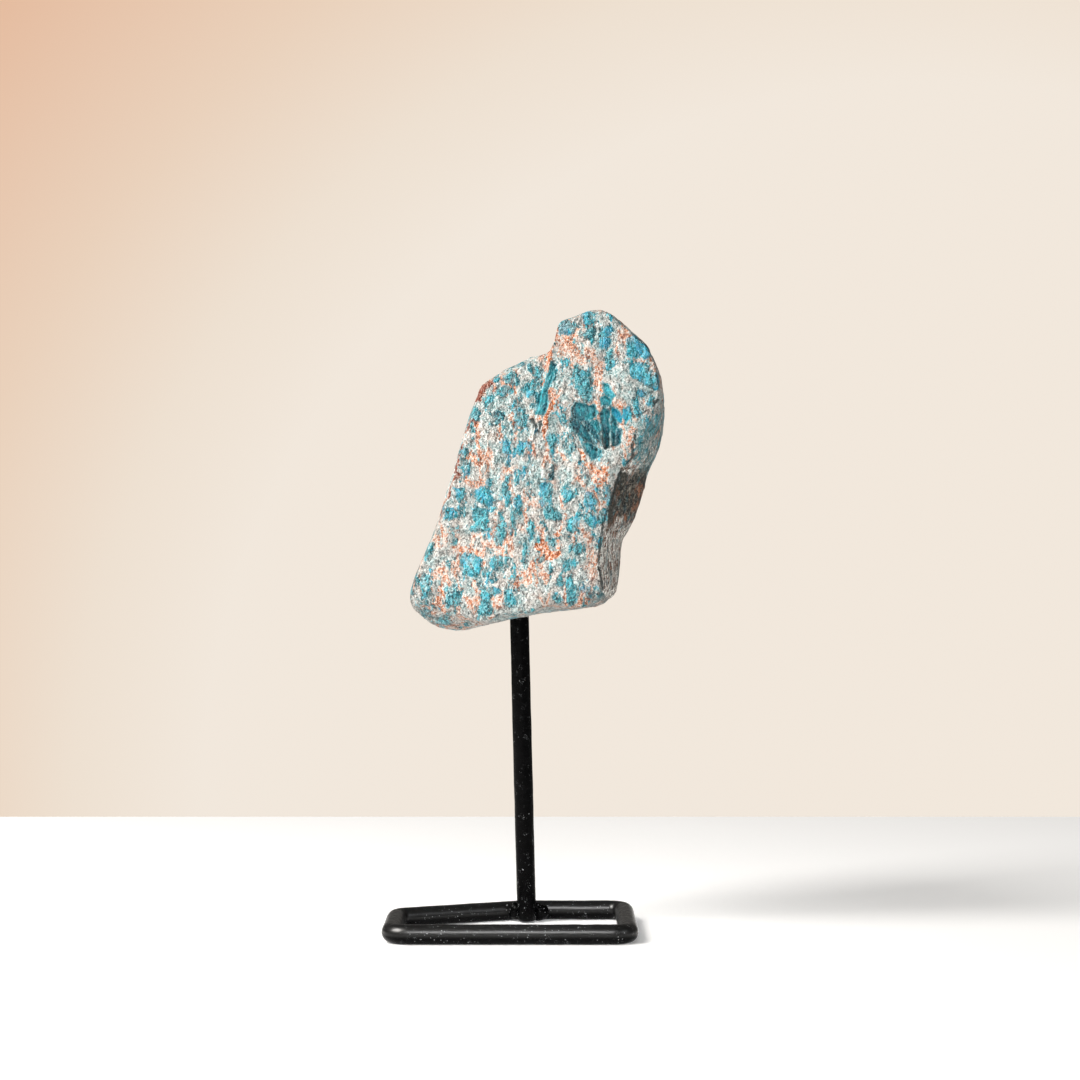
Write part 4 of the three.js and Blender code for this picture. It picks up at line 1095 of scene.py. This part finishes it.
def rounded_path(corners, radius, count):
    """A closed path through corners, each replaced by an arc, as a count of points evenly along it."""
    path = []
    for k, corner in enumerate(corners):
        to_last = corners[k - 1] - corner
        to_next = corners[(k + 1) % len(corners)] - corner
        to_last, to_next = to_last / np.linalg.norm(to_last), to_next / np.linalg.norm(to_next)
        half = math.acos(np.clip(to_last @ to_next, -1, 1)) / 2
        middle = corner + (to_last + to_next) / np.linalg.norm(to_last + to_next) * radius / math.sin(half)
        start = corner + to_last * radius / math.tan(half) - middle
        turn = np.linspace(0, math.pi - 2 * half, BEND_POINTS)
        cosine, sine = np.cos(turn), np.sin(turn)
        arc = np.stack([start[0] * cosine - start[1] * sine, start[0] * sine + start[1] * cosine], -1)
        path.append(middle + arc)
    path = np.concatenate(path)
    path = np.concatenate([path, path[:1]])
    length = np.concatenate([[0], np.cumsum(np.linalg.norm(np.diff(path, axis=0), axis=1))])
    at = np.linspace(0, length[-1], count, endpoint=False)
    return np.stack([np.interp(at, length, path[:, n]) for n in (0, 1)], -1)


loop_corners = np.array([
    [-LOOP_HALF_WIDTH, 0],
    [LOOP_HALF_WIDTH, 0],
    [LOOP_HALF_WIDTH, LOOP_DEPTH_RIGHT],
    [LOOP_KINK_X, LOOP_DEPTH_RIGHT],
    [-LOOP_HALF_WIDTH, LOOP_DEPTH_LEFT],
])
loop_path = rounded_path(loop_corners, BEND_RADIUS, LOOP_RINGS)
along = np.roll(loop_path, -1, 0) - np.roll(loop_path, 1, 0)
along = along / np.linalg.norm(along, axis=1, keepdims=True)
loop_across = np.stack([along[:, 1], -along[:, 0], np.zeros(LOOP_RINGS)], -1)
loop_upwards = np.tile([0.0, 0.0, 1.0], (LOOP_RINGS, 1))
loop_centres = np.concatenate([loop_path, np.full((LOOP_RINGS, 1), RAIL_RADIUS)], 1)
loop_radii = np.full((LOOP_RINGS, BAR_SIDES), RAIL_RADIUS)
loop_points, loop_faces = tube(loop_centres, loop_across, loop_upwards, loop_radii, True)
loop_middles = np.repeat(loop_centres, BAR_SIDES, 0)
loop_points = painted(loop_points, loop_middles)
loop_points[:, 2] = np.maximum(loop_points[:, 2], 0.0)
base = new_piece("base_bar", loop_points, loop_faces, paint_material)
add_values(base, "shine", eased(*SHINE_FROM, loop_points[:, 2]))
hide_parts("base_loop")
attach(base, "root")

# The two beads of weld that hold the post to the loop's back rails: small uneven lumps of steel, laid by hand
# in the corners between them and painted over with the stand.
BEAD_STEPS = 20
BEADS = {
    "weld_right": ("bead_right", [7.0, 37.2, 2.5], [2.4, 1.7, 2.2]),
    "weld_left": ("bead_left", [1.0, 37.0, 2.5], [1.6, 1.5, 2.2]),
}


def bead_points(directions, middle, radii):
    """A sphere's directions stretched by three radii, with lumps of 1.5 mm and small ripples."""
    points = np.array(middle) + directions * radii
    lumps = 0.14 * smooth_noise(*(points.T / 1.5)) + 0.06 * smooth_noise(*(points.T / 0.6))
    return np.array(middle) + directions * radii * (1 + lumps)[:, None]


*bead_places, bead_faces = box_skin(BEAD_STEPS, BEAD_STEPS, BEAD_STEPS)
bead_directions = np.stack(bead_places, -1)[:, [0, 2, 1]]
bead_directions = bead_directions / np.linalg.norm(bead_directions, axis=1, keepdims=True)
for weld, (bead_name, bead_middle, bead_radii) in BEADS.items():
    points = bead_points(bead_directions, bead_middle, bead_radii)
    bead = new_piece(bead_name, points, [bead_faces], paint_material)
    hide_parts(weld)
    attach(bead, "root")
